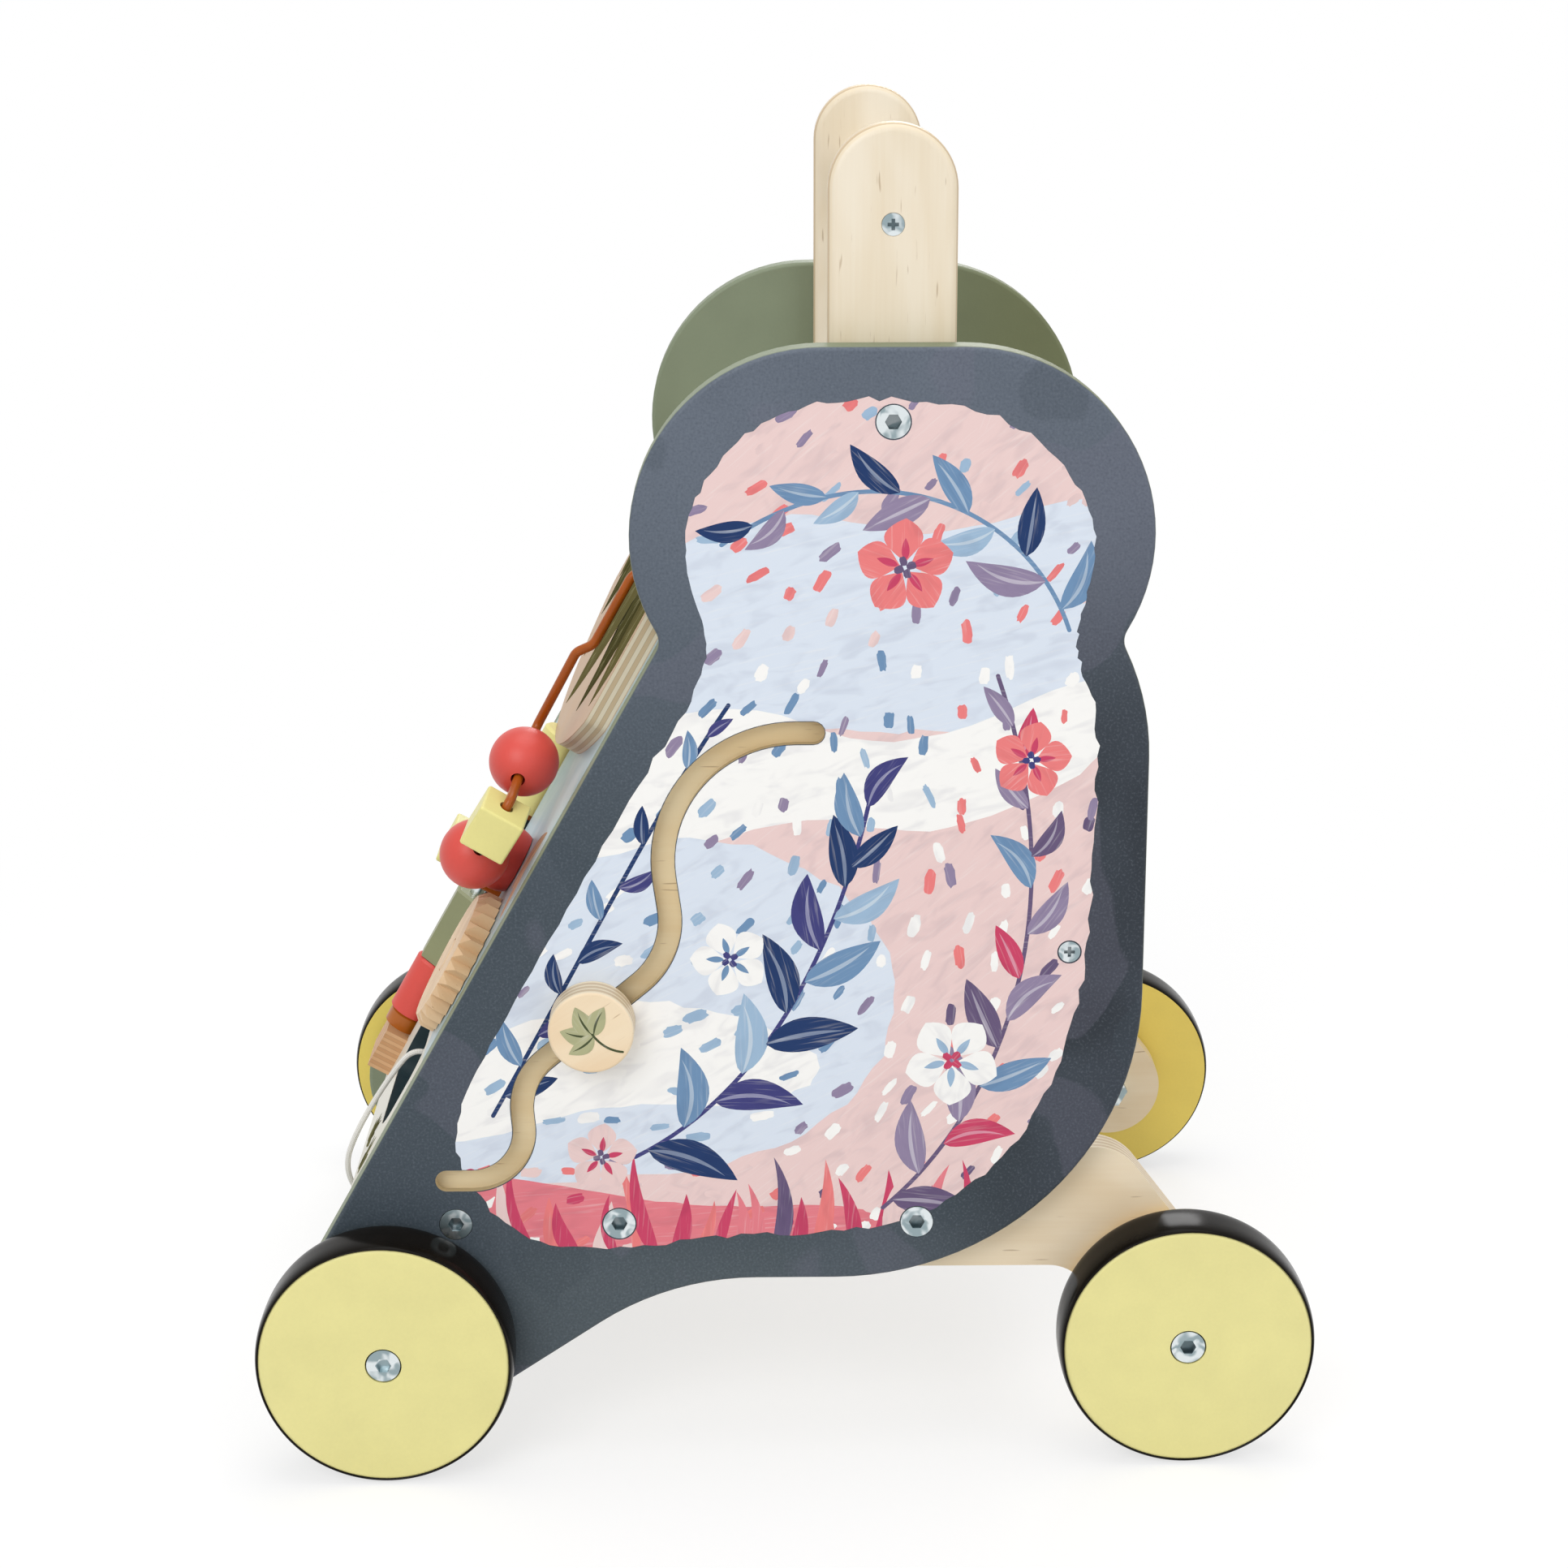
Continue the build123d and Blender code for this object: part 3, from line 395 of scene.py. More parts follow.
slate_print, tree, shader, coords = new_finish("slate_print", {"Specular IOR Level": 0.4})
place = put(tree, "ShaderNodeSeparateXYZ", {0: coords}).outputs
depth = calc(tree, "DIVIDE", calc(tree, "SUBTRACT", off_middle(tree, coords), panel_in), panel_thickness)
# Painted shade: the slate is darkened towards the rear, below the shoulder.
rear_shade = calc(tree, "MULTIPLY", band(tree, place["X"], 0.02, 0.12), band(tree, place["Z"], 0.36, 0.24))
wash = cloud(tree, coords, 13.0, 1.5, 0.6)
bloom = cloud(tree, coords, 22.0, 1.0, 0.3)
speck = cloud(tree, coords, 1150.0)
slate = mixed(tree, band(tree, place["Z"], 0.19, 0.385), paint(52, 64, 72), paint(94, 103, 116))
slate_coats = (
    (band(tree, place["Z"], 0.105, 0.065), 0.6, (80, 90, 96)),
    (rear_shade, 0.9, (14, 23, 34)),
    (band(tree, wash, 0.40, 0.62), 0.3, (74, 83, 95)),
    (band(tree, bloom, 0.555, 0.575), 0.2, (108, 106, 124)),
    (calc(tree, "SUBTRACT", 1.0, band(tree, bloom, 0.35, 0.38)), 0.24, (44, 57, 66)),
    (band(tree, speck, 0.46, 0.86), 0.26, (122, 131, 142)),
    (band(tree, speck, 0.54, 0.14), 0.36, (36, 46, 56)),
)
for mask, strength, colour in slate_coats:
    slate = washed(tree, mask, strength, slate, paint(*colour))
# Painted shade: the olive inner face and edges darken towards the rear.
olive_with_painted_shade = mixed(tree, band(tree, place["X"], 0.02, 0.11), olive, paint(112, 118, 84))
skin = use(tree, painted_skin, Vector=coords, Color=olive_with_painted_shade)
face_colour = mixed(tree, band(tree, depth, 0.90, 0.955), skin["Color"], slate)
in_track = within(
    tree, ("LESS_THAN", from_foot(tree, coords, board_out), -0.008), ("GREATER_THAN", place["Z"], 0.095),
    ("LESS_THAN", place["Z"], 0.285), ("LESS_THAN", place["X"], 0.020), ("LESS_THAN", depth, 0.995),
    ("GREATER_THAN", depth, 0.10))
bare = use(tree, wood_grain, Vector=coords, **track_bare)
# Painted shade: the track's walls, above the middle of its depth, are painted dark brown over the bare wood.
track_with_wall_shade = washed(tree, band(tree, depth, 0.48, 0.55), 0.6, bare["Color"], paint(134, 111, 68))
coat(tree, shader, mixed(tree, in_track, face_colour, track_with_wall_shade),
     calc(tree, "MULTIPLY_ADD", speck, 0.2, 0.42))
roughen(tree, shader, calc(tree, "ADD", speck, skin["Height"]), 0.12, 0.0002)
dress(slate_print, "left_panel", "right_panel")


# Printed meadow: a thin film of ink on each panel's outer face, brushed leaves, blossoms and dabs on
# a pale ground. The film is cut away round the track, the bolts and the screw, and the right panel
# carries the mirror image.
brush = np.random.default_rng(11)
ink_thickness, ink_lift = 0.00008, 0.0001


def heading_to(angle):
    """The step of length one in a direction."""
    return np.array((np.cos(angle), np.sin(angle)))


def round_turn(count):
    """Angles in even steps once round, the first one not repeated."""
    return np.linspace(0.0, 2.0 * np.pi, count, endpoint=False)


def blade(start, end, width, bend=0.0, shoulder=0.8):
    """A leaf or petal: a spine from start to end, bowed as a parabola. Its half-width is a sine of the way
    along, raised to a power that sets where it is widest, so it rises from nothing and falls to the tip."""
    along = np.linspace(0.0, 1.0, 13)[:, None]
    start, run = np.array(start), np.subtract(end, start)
    side = np.array((-run[1], run[0]))
    spine = start + along * run + bend * 4.0 * along * (1.0 - along) * side
    half = width / 2.0 * np.sin(np.pi * along ** shoulder) ** 0.85 * side / np.linalg.norm(side)
    return np.concatenate((spine - half, (spine + half)[-2:0:-1]))


def dab(middle, angle, length, width):
    """A short touch of the brush: a squarish oval, a circle's sine and cosine each raised to a power, with a
    ragged rim."""
    rim = heading_to(round_turn(18)).T
    rim = np.sign(rim) * np.abs(rim) ** 0.7 * (length / 2.0, width / 2.0)
    rim *= brush.uniform(0.84, 1.08, (len(rim), 1))
    cosine, sine = heading_to(angle)
    return np.array(middle) + rim @ np.array(((cosine, sine), (-sine, cosine)))


def patch(corners, ragged):
    """A painted ground: corners cut off three times to round them, then the rim moved in and out a little."""
    rim = np.array(corners, float)
    for _ in range(3):
        after = np.roll(rim, -1, axis=0)
        rim = np.stack((0.75 * rim + 0.25 * after, 0.25 * rim + 0.75 * after), axis=1).reshape(-1, 2)
    outward = rim - rim.mean(axis=0)
    outward /= np.linalg.norm(outward, axis=1, keepdims=True)
    return rim + outward * brush.uniform(-ragged, ragged, (len(rim), 1))


def ribbon(points, width):
    """A stem or a slot: a band of even width along points, with a round end at either end."""
    points = np.array(points, float)
    heading = np.gradient(points, axis=0)
    heading /= np.linalg.norm(heading, axis=1, keepdims=True)
    side = np.stack((-heading[:, 1], heading[:, 0]), axis=1)
    swing = np.linspace(0.0, np.pi, 9)[1:-1, None]
    far_cap = points[-1] + width / 2.0 * (np.sin(swing) * heading[-1] - np.cos(swing) * side[-1])
    near_cap = points[0] + width / 2.0 * (np.cos(swing) * side[0] - np.sin(swing) * heading[0])
    half = width / 2.0 * side
    return np.concatenate((points - half, far_cap, (points + half)[::-1], near_cap))


def arc_line(corners, count):
    """A smooth stem: corners taken as the control points of one Bezier curve."""
    share = np.linspace(0.0, 1.0, count)[:, None]
    line = np.repeat(np.array(corners, float)[None], count, axis=0)
    while line.shape[1] > 1:
        line = line[:, :-1] * (1.0 - share[..., None]) + line[:, 1:] * share[..., None]
    return line[:, 0]


def sprig(corners, leaves, size, colours, stem):
    """A stem with leaves left and right of it in turn, each with a paler rib; the leaves lie closer to the
    stem and grow shorter towards its tip."""
    line = arc_line(corners, 40)
    drawn = [(ribbon(line, 1.5), stem, 0.0)]
    for leaf in range(leaves):
        share = (leaf + 0.6) / leaves
        foot = line[int(share * 38)]
        ahead_of = line[int(share * 38) + 1] - foot
        angle = np.arctan2(ahead_of[1], ahead_of[0])
        angle += (0.95 if leaf % 2 else -0.95) * brush.uniform(0.75, 1.1) * (1.0 - 0.55 * share)
        long = size * (1.15 - 0.45 * share) * brush.uniform(0.88, 1.1)
        tip = foot + long * heading_to(angle)
        bow = brush.uniform(-0.14, 0.14)
        colour = colours[leaf % len(colours)]
        drawn.append((blade(foot, tip, 0.38 * long, bow), colour, angle))
        pale = tuple(int(0.55 * part + 0.45 * 240) for part in colour)
        drawn.append((blade(foot, foot + 0.86 * (tip - foot), 0.05 * long, bow), pale, angle))
    return drawn


def blossom(middle, size, turn, petal, shade, heart):
    """A flower: five broad petals round a heart of small dabs, each petal with a darker touch at its foot."""
    drawn = []
    for angle in turn + np.arange(5) * 2.0 * np.pi / 5.0:
        way = size * heading_to(angle)
        drawn.append((blade(middle + 0.1 * way, middle + way, 0.78 * size, 0.05, 1.25), petal, angle))
        drawn.append((blade(middle + 0.15 * way, middle + 0.6 * way, 0.16 * size, 0.0), shade, angle))
    for angle in turn + np.arange(4) * np.pi / 2.0:
        where = middle + 0.13 * size * heading_to(angle)
        drawn.append((dab(where, angle, 0.2 * size, 0.16 * size), heart, angle))
    return drawn


def ring(middle, radius):
    """A round opening in the film."""
    return np.array(middle) + radius * heading_to(round_turn(40)).T


def leftward(outline):
    """The outline run with its inside on the left, whichever way it was drawn."""
    x, z = outline.T
    return outline if np.dot(x, np.roll(z, -1)) > np.dot(z, np.roll(x, -1)) else outline[::-1]


def print_film(name, drawn, windows, to_space, body, finish, lowest=0):
    """Lays the outlines over each other and cuts them into triangles; a triangle takes the topmost stroke's
    colour. Only what lies on the first stroke, the ground, and from the lowest stroke up is kept; the windows
    stay open."""
    outlines = [leftward(outline) for outline in [stroke[0] for stroke in drawn] + windows]
    counts = [len(outline) for outline in outlines]
    firsts = np.cumsum([0] + counts)
    loops = [list(range(first, first + count)) for first, count in zip(firsts, counts)]
    corners = [Vector(corner) for corner in np.concatenate(outlines)]
    points, _, triangles, _, _, sources = delaunay_2d_cdt(corners, [], loops, 1, 1e-4, True)
    top = np.array([max(source) if 0 in source else len(drawn) for source in sources])
    inked = (top >= lowest) & (top < len(drawn))
    triangles, top = np.array(triangles)[inked], top[inked]
    used, triangles = np.unique(triangles, return_inverse=True)
    triangles = triangles.reshape(-1, 3)
    points = np.array([tuple(point) for point in points])[used]
    film = new_piece(name, to_space(points), triangles.tolist())
    inks = np.array([paint(*colour) for _, colour, _ in drawn])
    ink = film.data.color_attributes.new("ink", "FLOAT_COLOR", "CORNER")
    ink.data.foreach_set("color", np.repeat(inks[top], 3, axis=0).ravel())
    angles = np.array([angle for _, _, angle in drawn])[np.repeat(top, 3)]
    flat = points[triangles.ravel()] * mm
    along = flat[:, 0] * np.cos(angles) + flat[:, 1] * np.sin(angles)
    over = flat[:, 1] * np.cos(angles) - flat[:, 0] * np.sin(angles)
    stroke_map = film.data.uv_layers.new(name="stroke")
    stroke_map.data.foreach_set("uv", np.stack((along, over), axis=1).ravel())
    film.data.materials.append(finish)
    thick = film.modifiers.new("ink_thickness", "SOLIDIFY")
    thick.thickness = ink_thickness
    thick.offset = -1.0
    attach(film, body)
    return film


def print_both_sides(name, drawn, windows, face, bodies, lowest=0):
    """The same drawing on the left and on the right, each as many millimetres from the middle as the face is;
    the right one is turned over to look outwards."""
    def left_face(points):
        return np.insert(points, 1, -face, axis=1) * mm

    def right_face(points):
        return np.insert(points, 1, face, axis=1) * mm

    print_film(f"left_{name}", drawn, windows, left_face, bodies[0], satin_ink, lowest)
    right = print_film(f"right_{name}", drawn, windows, right_face, bodies[1], satin_ink, lowest)
    right.data.flip_normals()


def brushed_ink(name, gloss, streaks):
    """Printed ink with the streaks of a brush: pale bristle lines and deeper wet ones, along the stroke."""
    material, tree, shader, _ = new_finish(name, {"Specular IOR Level": gloss})
    drawn_colour = put(tree, "ShaderNodeAttribute", attribute_name="ink").outputs["Color"]
    stroke_uv = put(tree, "ShaderNodeUVMap", uv_map="stroke").outputs[0]
    bristle = cloud(tree, stroke_uv, (55.0, 1100.0, 1.0), 3.0, 0.3)
    wet = cloud(tree, stroke_uv, (60.0, 160.0, 1.0), 2.0, 0.8)
    paler = mixed(tree, 0.62, drawn_colour, paint(246, 243, 240))
    deeper = mixed(tree, 1.0, drawn_colour, (0.62, 0.62, 0.68, 1.0), "MULTIPLY")
    ink_colour = washed(tree, band(tree, bristle, 0.52, 0.78), streaks, drawn_colour, paler)
    ink_colour = washed(tree, band(tree, wet, 0.46, 0.72), 0.30, ink_colour, deeper)
    coat(tree, shader, ink_colour, calc(tree, "MULTIPLY_ADD", bristle, 0.2, 0.36))
    roughen(tree, shader, bristle, 0.08, 0.0002)
    return material


satin_ink, matt_ink = brushed_ink("satin_ink", 0.15, 0.4), brushed_ink("matt_ink", 0.0, 0.12)
blush, ice, snow, rose = (235, 207, 204), (219, 228, 240), (249, 248, 245), (229, 128, 138)
navy, indigo, steel, sky = (34, 58, 104), (66, 66, 124), (112, 146, 182), (158, 186, 212)
plum, mauve, crimson, coral_ink = (104, 88, 122), (146, 132, 162), (204, 70, 104), (236, 128, 128)
ground = patch((
    (36, 388), (70, 384), (96, 364), (106, 338), (100, 314), (98, 300), (106, 282), (107, 255), (106, 215),
    (104, 180), (95, 145), (76, 112), (48, 92), (14, 86), (-24, 86), (-58, 80), (-92, 82), (-112, 102),
    (-120, 126), (-104, 160), (-78, 206), (-52, 252), (-30, 288), (-26, 304), (-35, 330), (-33, 352),
    (-16, 376), (8, 387)), 0.9)
meadow = [(ground, blush, 0.7)]
washes = (
    (ice, 0.25, ((-60, 330), (0, 352), (50, 338), (116, 362), (116, 292), (60, 270), (10, 276), (-60, 262))),
    (snow, 0.25, ((-90, 262), (-20, 286), (40, 262), (116, 300), (116, 262), (50, 232), (0, 246),
                  (-110, 196))),
    (ice, 0.45, ((-140, 180), (-60, 236), (0, 232), (40, 196), (36, 150), (0, 118), (-50, 108), (-140, 104))),
    (snow, 0.45, ((-130, 150), (-70, 176), (-20, 172), (20, 150), (-10, 134), (-60, 138), (-130, 116))),
    (rose, 0.1, ((-126, 112), (-84, 106), (-30, 96), (20, 98), (40, 90), (10, 76), (-60, 70), (-126, 84))),
)
meadow += [(patch(corners, 1.4), colour, lean) for colour, lean, corners in washes]
dab_gap, dab_drift = 15.0, 5.5
grid_x, grid_z = np.meshgrid(np.arange(-118.0, 112.0, dab_gap), np.arange(84.0, 392.0, dab_gap))
spots = np.stack((grid_x.ravel(), grid_z.ravel()), axis=1)
spots += brush.uniform(-dab_drift, dab_drift, (grid_x.size, 2))
for x, z in spots:
    if z > 300.0:
        choice = (blush, sky, mauve, coral_ink)
    elif x > 30.0 + 0.3 * (z - 180.0):
        choice = (mauve, snow, coral_ink, snow, plum)
    elif z < 112.0:
        choice = (crimson, blush, coral_ink, snow)
    else:
        choice = (sky, snow, mauve, steel)
    lean = 0.9 + 0.5 * np.sin(x * 0.03) + 0.4 * np.cos(z * 0.025) + brush.uniform(-0.3, 0.3)
    colour = choice[brush.integers(len(choice))]
    meadow.append((dab((x, z), lean, brush.uniform(5.0, 9.5), brush.uniform(2.2, 4.2)), colour, lean))
grass_foot, grass_lean = 78.0, 1.5
for x in np.linspace(-104.0, 74.0, 26):
    tip = (x + brush.uniform(-9.0, 9.0), 84.0 + brush.uniform(14.0, 34.0))
    colour = (crimson, coral_ink, plum, rose, blush)[brush.integers(5)]
    grass = blade((x, grass_foot), tip, brush.uniform(4.0, 6.5), brush.uniform(-0.12, 0.12), 0.6)
    meadow.append((grass, colour, grass_lean))
sprigs = (
    (((-104, 132), (-84, 168), (-64, 206), (-44, 246), (-20, 282)), 11, 17.0,
     (navy, steel, indigo, navy), navy),
    (((-54, 116), (-8, 140), (12, 186), (24, 222), (30, 256)), 13, 31.0,
     (navy, steel, indigo, sky, navy), indigo),
    (((34, 96), (66, 124), (92, 176), (92, 234), (72, 292)), 14, 27.0,
     (plum, mauve, crimson, mauve, steel), plum),
    (((96, 308), (84, 344), (48, 366), (12, 362), (-22, 338)), 11, 25.0,
     (steel, mauve, navy, sky), steel),
)
for corners, leaves, size, colours, stem in sprigs:
    meadow += sprig(corners, leaves, size, colours, stem)
blossoms = (
    ((40.0, 330.0), 17.0, 0.3, coral_ink, crimson, plum),
    ((58.0, 152.0), 17.0, 0.9, snow, sky, crimson),
    ((84.0, 262.0), 14.0, 0.1, coral_ink, crimson, indigo),
    ((-20.0, 190.0), 14.0, 0.6, snow, steel, indigo),
    ((-66.0, 116.0), 13.0, 0.2, blush, crimson, plum),
)
for middle, size, turn, petal, shade, heart in blossoms:
    meadow += blossom(np.array(middle), size, turn, petal, shade, heart)

# The track's middle line: straight runs and arcs in turn, from its upper end down.
track_start, track_width, track_steps = np.array((9.0, 272.0)), 8.6, 24
track_runs = np.array((6.0, 46.0, 11.0, 30.0, 44.0, 24.0, 5.0, 19.0, 9.0))
track_turns = np.radians((0.0, 98.0, 0.0, -58.0, 0.0, 55.0, 0.0, -95.0, 0.0))
track_lengths = np.where(track_turns == 0.0, track_runs, track_runs * np.abs(track_turns))
step_turns = np.repeat(track_turns / track_steps, track_steps)
step_lengths = np.repeat(track_lengths / track_steps, track_steps)[:, None]
headings = np.pi + np.cumsum(step_turns) - step_turns / 2.0
track_middle = np.cumsum(step_lengths * heading_to(headings).T, axis=0)
track_middle = track_start + np.insert(track_middle, 0, 0.0, axis=0)
bolt_opening, screw_opening = 6.2, 4.3
openings = [ribbon(track_middle, track_width), ring((98.6, 192.2), screw_opening)]
openings += [ring(middle, bolt_opening)
             for middle in ((35.7, 379.8), (-118.3, 90.4), (-60.0, 90.4), (46.2, 90.4))]
panel_out = per_metre * (panel_in + panel_thickness + ink_lift)
print_both_sides("print", meadow, openings, panel_out, ("frame", "frame"))


# Handle arms and chassis rails: 12 mm birch plywood, sanded and lacquered, their edges showing the layers.
# The arms' grain runs up, the rails' runs along; the bar between the arms is a turned birch dowel.
rail_in, board_ply, board_layers = 0.102, 0.012, 9.0
birch_tones = paint(240, 229, 209), paint(229, 213, 185)
rail_tones = paint(246, 229, 200), paint(237, 215, 180)
layer_tones = {"Pale": paint(236, 221, 194), "Dark": paint(214, 190, 154)}
quarter = np.pi / 2.0
grain_along, grain_up, grain_across = (0.0, 0.0, 0.0), (0.0, quarter, 0.0), (0.0, 0.0, quarter)
sideways_on = (0.0, 1.0, 0.0)


def birch(name, turn, tones, plies=None):
    """Birch: grain on the faces, turned as the piece was cut. Plies adds the layers that show on a board's
    edges: the axis through them, where the first one lies, the board's thickness and the number of layers."""
    material, tree, shader, coords = new_finish(name, {"Specular IOR Level": 0.4})
    along = put(tree, "ShaderNodeMapping", {"Vector": coords, "Rotation": turn}).outputs[0]
    grain = use(tree, wood_grain, Vector=along, Pale=tones[0], Dark=tones[1])
    colour = grain["Color"]
    if plies:
        axis, low, thickness, layers = plies
        through = calc(tree, "ABSOLUTE", along_axis(tree, coords, axis))
        depth = calc(tree, "DIVIDE", calc(tree, "SUBTRACT", through, low), thickness)
        edge = use(tree, ply_edge, Depth=depth, Layers=layers, **layer_tones)
        colour = mixed(tree, edge["Edge"], colour, edge["Color"])
    coat(tree, shader, colour, calc(tree, "MULTIPLY_ADD", grain["Height"], 0.22, 0.34))
    roughen(tree, shader, grain["Height"], 0.22, 0.0002)
    return material


side_plies = (sideways_on, rail_in, board_ply, board_layers)
dress(birch("arm_birch", grain_up, birch_tones, side_plies), "left_arm", "right_arm")
dress(birch("rail_birch", grain_along, rail_tones, side_plies), "left_rail", "right_rail")
dress(birch("dowel_birch", grain_across, birch_tones), "handle_bar", "board_dowels", "arm_dowels",
      "cord_block")


# Toy bin: a floor of 15 mm birch plywood between the rails and a rear wall of 12 mm, the layers showing on
# their edges. Barrel nuts in the floor take the panel bolts, and a screw through each panel holds the wall.
floor_plies = ((0.0, 0.0, 1.0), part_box("bin_floor")[0].z, 0.015, 11.0)
back_plies = ((1.0, 0.0, 0.0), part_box("bin_back")[0].x, board_ply, board_layers)
dress(birch("floor_birch", grain_along, birch_tones, floor_plies), "bin_floor")
dress(birch("back_birch", grain_across, birch_tones, back_plies), "bin_back")


# Sloping front board: 9 mm board, pale blue above and cream at the foot, with windows cut for the rollers and
# the cord. The windows' walls are painted dark teal as painted shade, and the back of the board is olive like
# the panels' insides.
cream_top, board_back = 0.050, -0.0088
front_paint, tree, shader, coords = new_finish("front_paint", {"Specular IOR Level": 0.4})
up, out = from_foot(tree, coords, board_up), from_foot(tree, coords, board_out)
wash = cloud(tree, coords, 30.0, 2.0, 0.5)
ragged = calc(tree, "ADD", up, calc(tree, "MULTIPLY", calc(tree, "SUBTRACT", wash, 0.5), 0.02))
blue = mixed(tree, band(tree, wash, 0.35, 0.65), paint(158, 186, 196), paint(184, 202, 208))
front_colour = mixed(tree, band(tree, ragged, cream_top, cream_top + 0.002), paint(228, 225, 212), blue)
skin = use(tree, painted_skin, Vector=coords, Color=front_colour)
# Painted shade: the windows' walls are coloured dark teal.
shaded_window_wall = within(
    tree, ("LESS_THAN", out, -0.0002), ("GREATER_THAN", up, 0.008), ("LESS_THAN", up, 0.155),
    ("LESS_THAN", off_middle(tree, coords), 0.110))
colour = mixed(tree, shaded_window_wall, skin["Color"], paint(34, 52, 58))
colour = mixed(tree, calc(tree, "LESS_THAN", out, board_back), colour, olive)
coat(tree, shader, colour, skin["Roughness"])
roughen(tree, shader, skin["Height"], 0.15, 0.0002)
dress(front_paint, "front_board")


# Bowed plate: 8 mm plywood on the upper half of the front board, its lower edge sawn to a bow. The face is
# printed peach with hanging leaves, the edge shows the bare layers, and the plate is glued to the board.
plate_thickness, plate_layers = 0.008, 5.0
plate_finish, tree, shader, coords = new_finish("plate_finish", {"Specular IOR Level": 0.03})
depth = calc(tree, "DIVIDE", from_foot(tree, coords, board_out), plate_thickness)
edge = use(tree, ply_edge, Depth=depth, Layers=plate_layers, Pale=paint(226, 214, 190),
           Dark=paint(204, 182, 150))
skin = use(tree, painted_skin, Vector=coords, Color=paint(206, 176, 146))
coat(tree, shader, mixed(tree, edge["Edge"], skin["Color"], edge["Color"]), skin["Roughness"])
roughen(tree, shader, skin["Height"], 0.15, 0.0002)
dress(plate_finish, "upper_plate")


def on_plate(points):
    """Points of the plate's face from millimetres across and up the slope."""
    return on_board(np.insert(points, 2, per_metre * (plate_thickness + ink_lift), axis=1))


def on_front(points):
    """Points of the front board's face from millimetres across and up the slope."""
    return on_board(np.insert(points, 2, per_metre * ink_lift, axis=1))


def pointing(foot, tip):
    """The direction from a leaf's foot to its tip."""
    return np.arctan2(tip[1] - foot[1], tip[0] - foot[0])


ivy, ivy_light, ivy_shade, ivy_rib = (84, 80, 46), (108, 101, 62), (56, 53, 30), (150, 144, 104)
bow_middle, bow_radius, bow_half, leaf_top = 330.0, 180.0, 104.0, 258.0
bow_across = np.linspace(-bow_half, bow_half, 33)
bow_edge = bow_middle - np.sqrt(bow_radius ** 2 - bow_across ** 2)
leaf_ground = np.stack((bow_across, bow_edge + 2.5), axis=1)
leaf_ground = np.concatenate((leaf_ground, ((bow_half, leaf_top), (-bow_half, leaf_top))))
leaf_print = [(leaf_ground, ivy, 0.0)]
hanging = [(across, across + brush.uniform(-6.0, 6.0), edge + brush.uniform(34.0, 44.0), 36.0, ivy_shade)
           for across, edge in zip(bow_across[2::4], bow_edge[2::4])]
hanging += [
    (-98.0, -93.0, 192.0, 42.0, ivy_light), (-66.0, -78.0, 178.0, 42.0, ivy),
    (-34.0, -50.0, 166.0, 44.0, ivy_light), (70.0, 52.0, 172.0, 42.0, ivy),
    (30.0, -10.0, 156.0, 46.0, ivy_light), (100.0, 90.0, 186.0, 40.0, ivy_light),
]
for across, tip_across, tip_up, width, colour in hanging:
    foot, tip = np.array((across, leaf_top + 30.0)), np.array((tip_across, tip_up))
    leaf_angle = pointing(foot, tip)
    leaf_side = np.array((foot[1] - tip[1], tip[0] - foot[0]))
    bow = brush.uniform(-0.05, 0.05)
    leaf_print.append((blade(foot, tip, width, bow, 1.15), colour, leaf_angle))
    leaf_print.append((blade(foot, 0.95 * tip + 0.05 * foot, 1.5, bow), ivy_rib, leaf_angle))
    for share in (0.42, 0.55, 0.68, 0.8):
        root = foot + share * (tip - foot) + bow * 4.0 * share * (1.0 - share) * leaf_side
        vein_length = 0.36 * width * (1.1 - share * 0.6)
        for vein_angle in (leaf_angle - 0.62, leaf_angle + 0.62):
            vein = blade(root, root + vein_length * heading_to(vein_angle), 0.9)
            leaf_print.append((vein, ivy_rib, vein_angle))
wire_opening = [ring((75.0, 236.0), 4.0)]
print_film("plate_print", leaf_print, wire_opening, on_plate, "frame", matt_ink, 1)

moss, fern, peach_ink, peach_rib = (96, 94, 62), (128, 126, 90), (214, 176, 150), (190, 144, 116)
board_print = [(np.array(((-110, -5), (110, -5), (110, 146), (-110, 146.0))), peach_ink, 0.0)]
board_leaves = (
    ((88, 112), (104, 142), 14.0), ((106, 106), (96, 128), 9.0), ((40, 64), (48, 92), 12.0),
    ((-98, 60), (-76, 100), 16.0), ((-60, 100), (-80, 136), 15.0), ((-24, 112), (-46, 140), 12.0),
    ((-70, 26), (-96, 44), 12.0),
)
for foot, tip, width in board_leaves:
    leaf_angle = pointing(foot, tip)
    board_print.append((blade(foot, tip, width, 0.08), peach_ink, leaf_angle))
    board_print.append((blade(foot, tip, 1.2, 0.08), peach_rib, leaf_angle))
for foot in ((106, -3), (84, -2), (-60, 2), (-90, 0)):
    for turn in np.linspace(0.3, 2.8, 6):
        tip = np.array(foot) + brush.uniform(8.0, 13.5) * heading_to(turn)
        board_print.append((blade(foot, tip, 4.0, 0.06), (moss, fern)[brush.integers(2)], turn))
board_openings = [ring(middle, radius) for middle, radius in (
    ((68.0, 114.5), 8.6), ((58.0, 98.0), 3.0), ((-35.0, 77.0), 8.6), ((85.0, 77.4), 28.0))]
board_openings += [ribbon(((5.0, 23.0), (5.0, 140.0)), 24.0), ribbon(((54.0, 29.5), (87.0, 29.5)), 37.0)]
print_film("board_print", board_print, board_openings, on_front, "frame", matt_ink, 1)


# Wheels: turned wooden discs in pale lemon paint, their inner faces a deeper honey as painted shade, black
# moulded tyres pressed over them, dark plastic bushes.
# The shoulder bolts, washers and nuts that hold them, like all the other fasteners, are bright zinc plate.
tyre_wall = 0.0015
corners = [f"{end}_{side}" for end in ("front", "rear") for side in ("left", "right")]


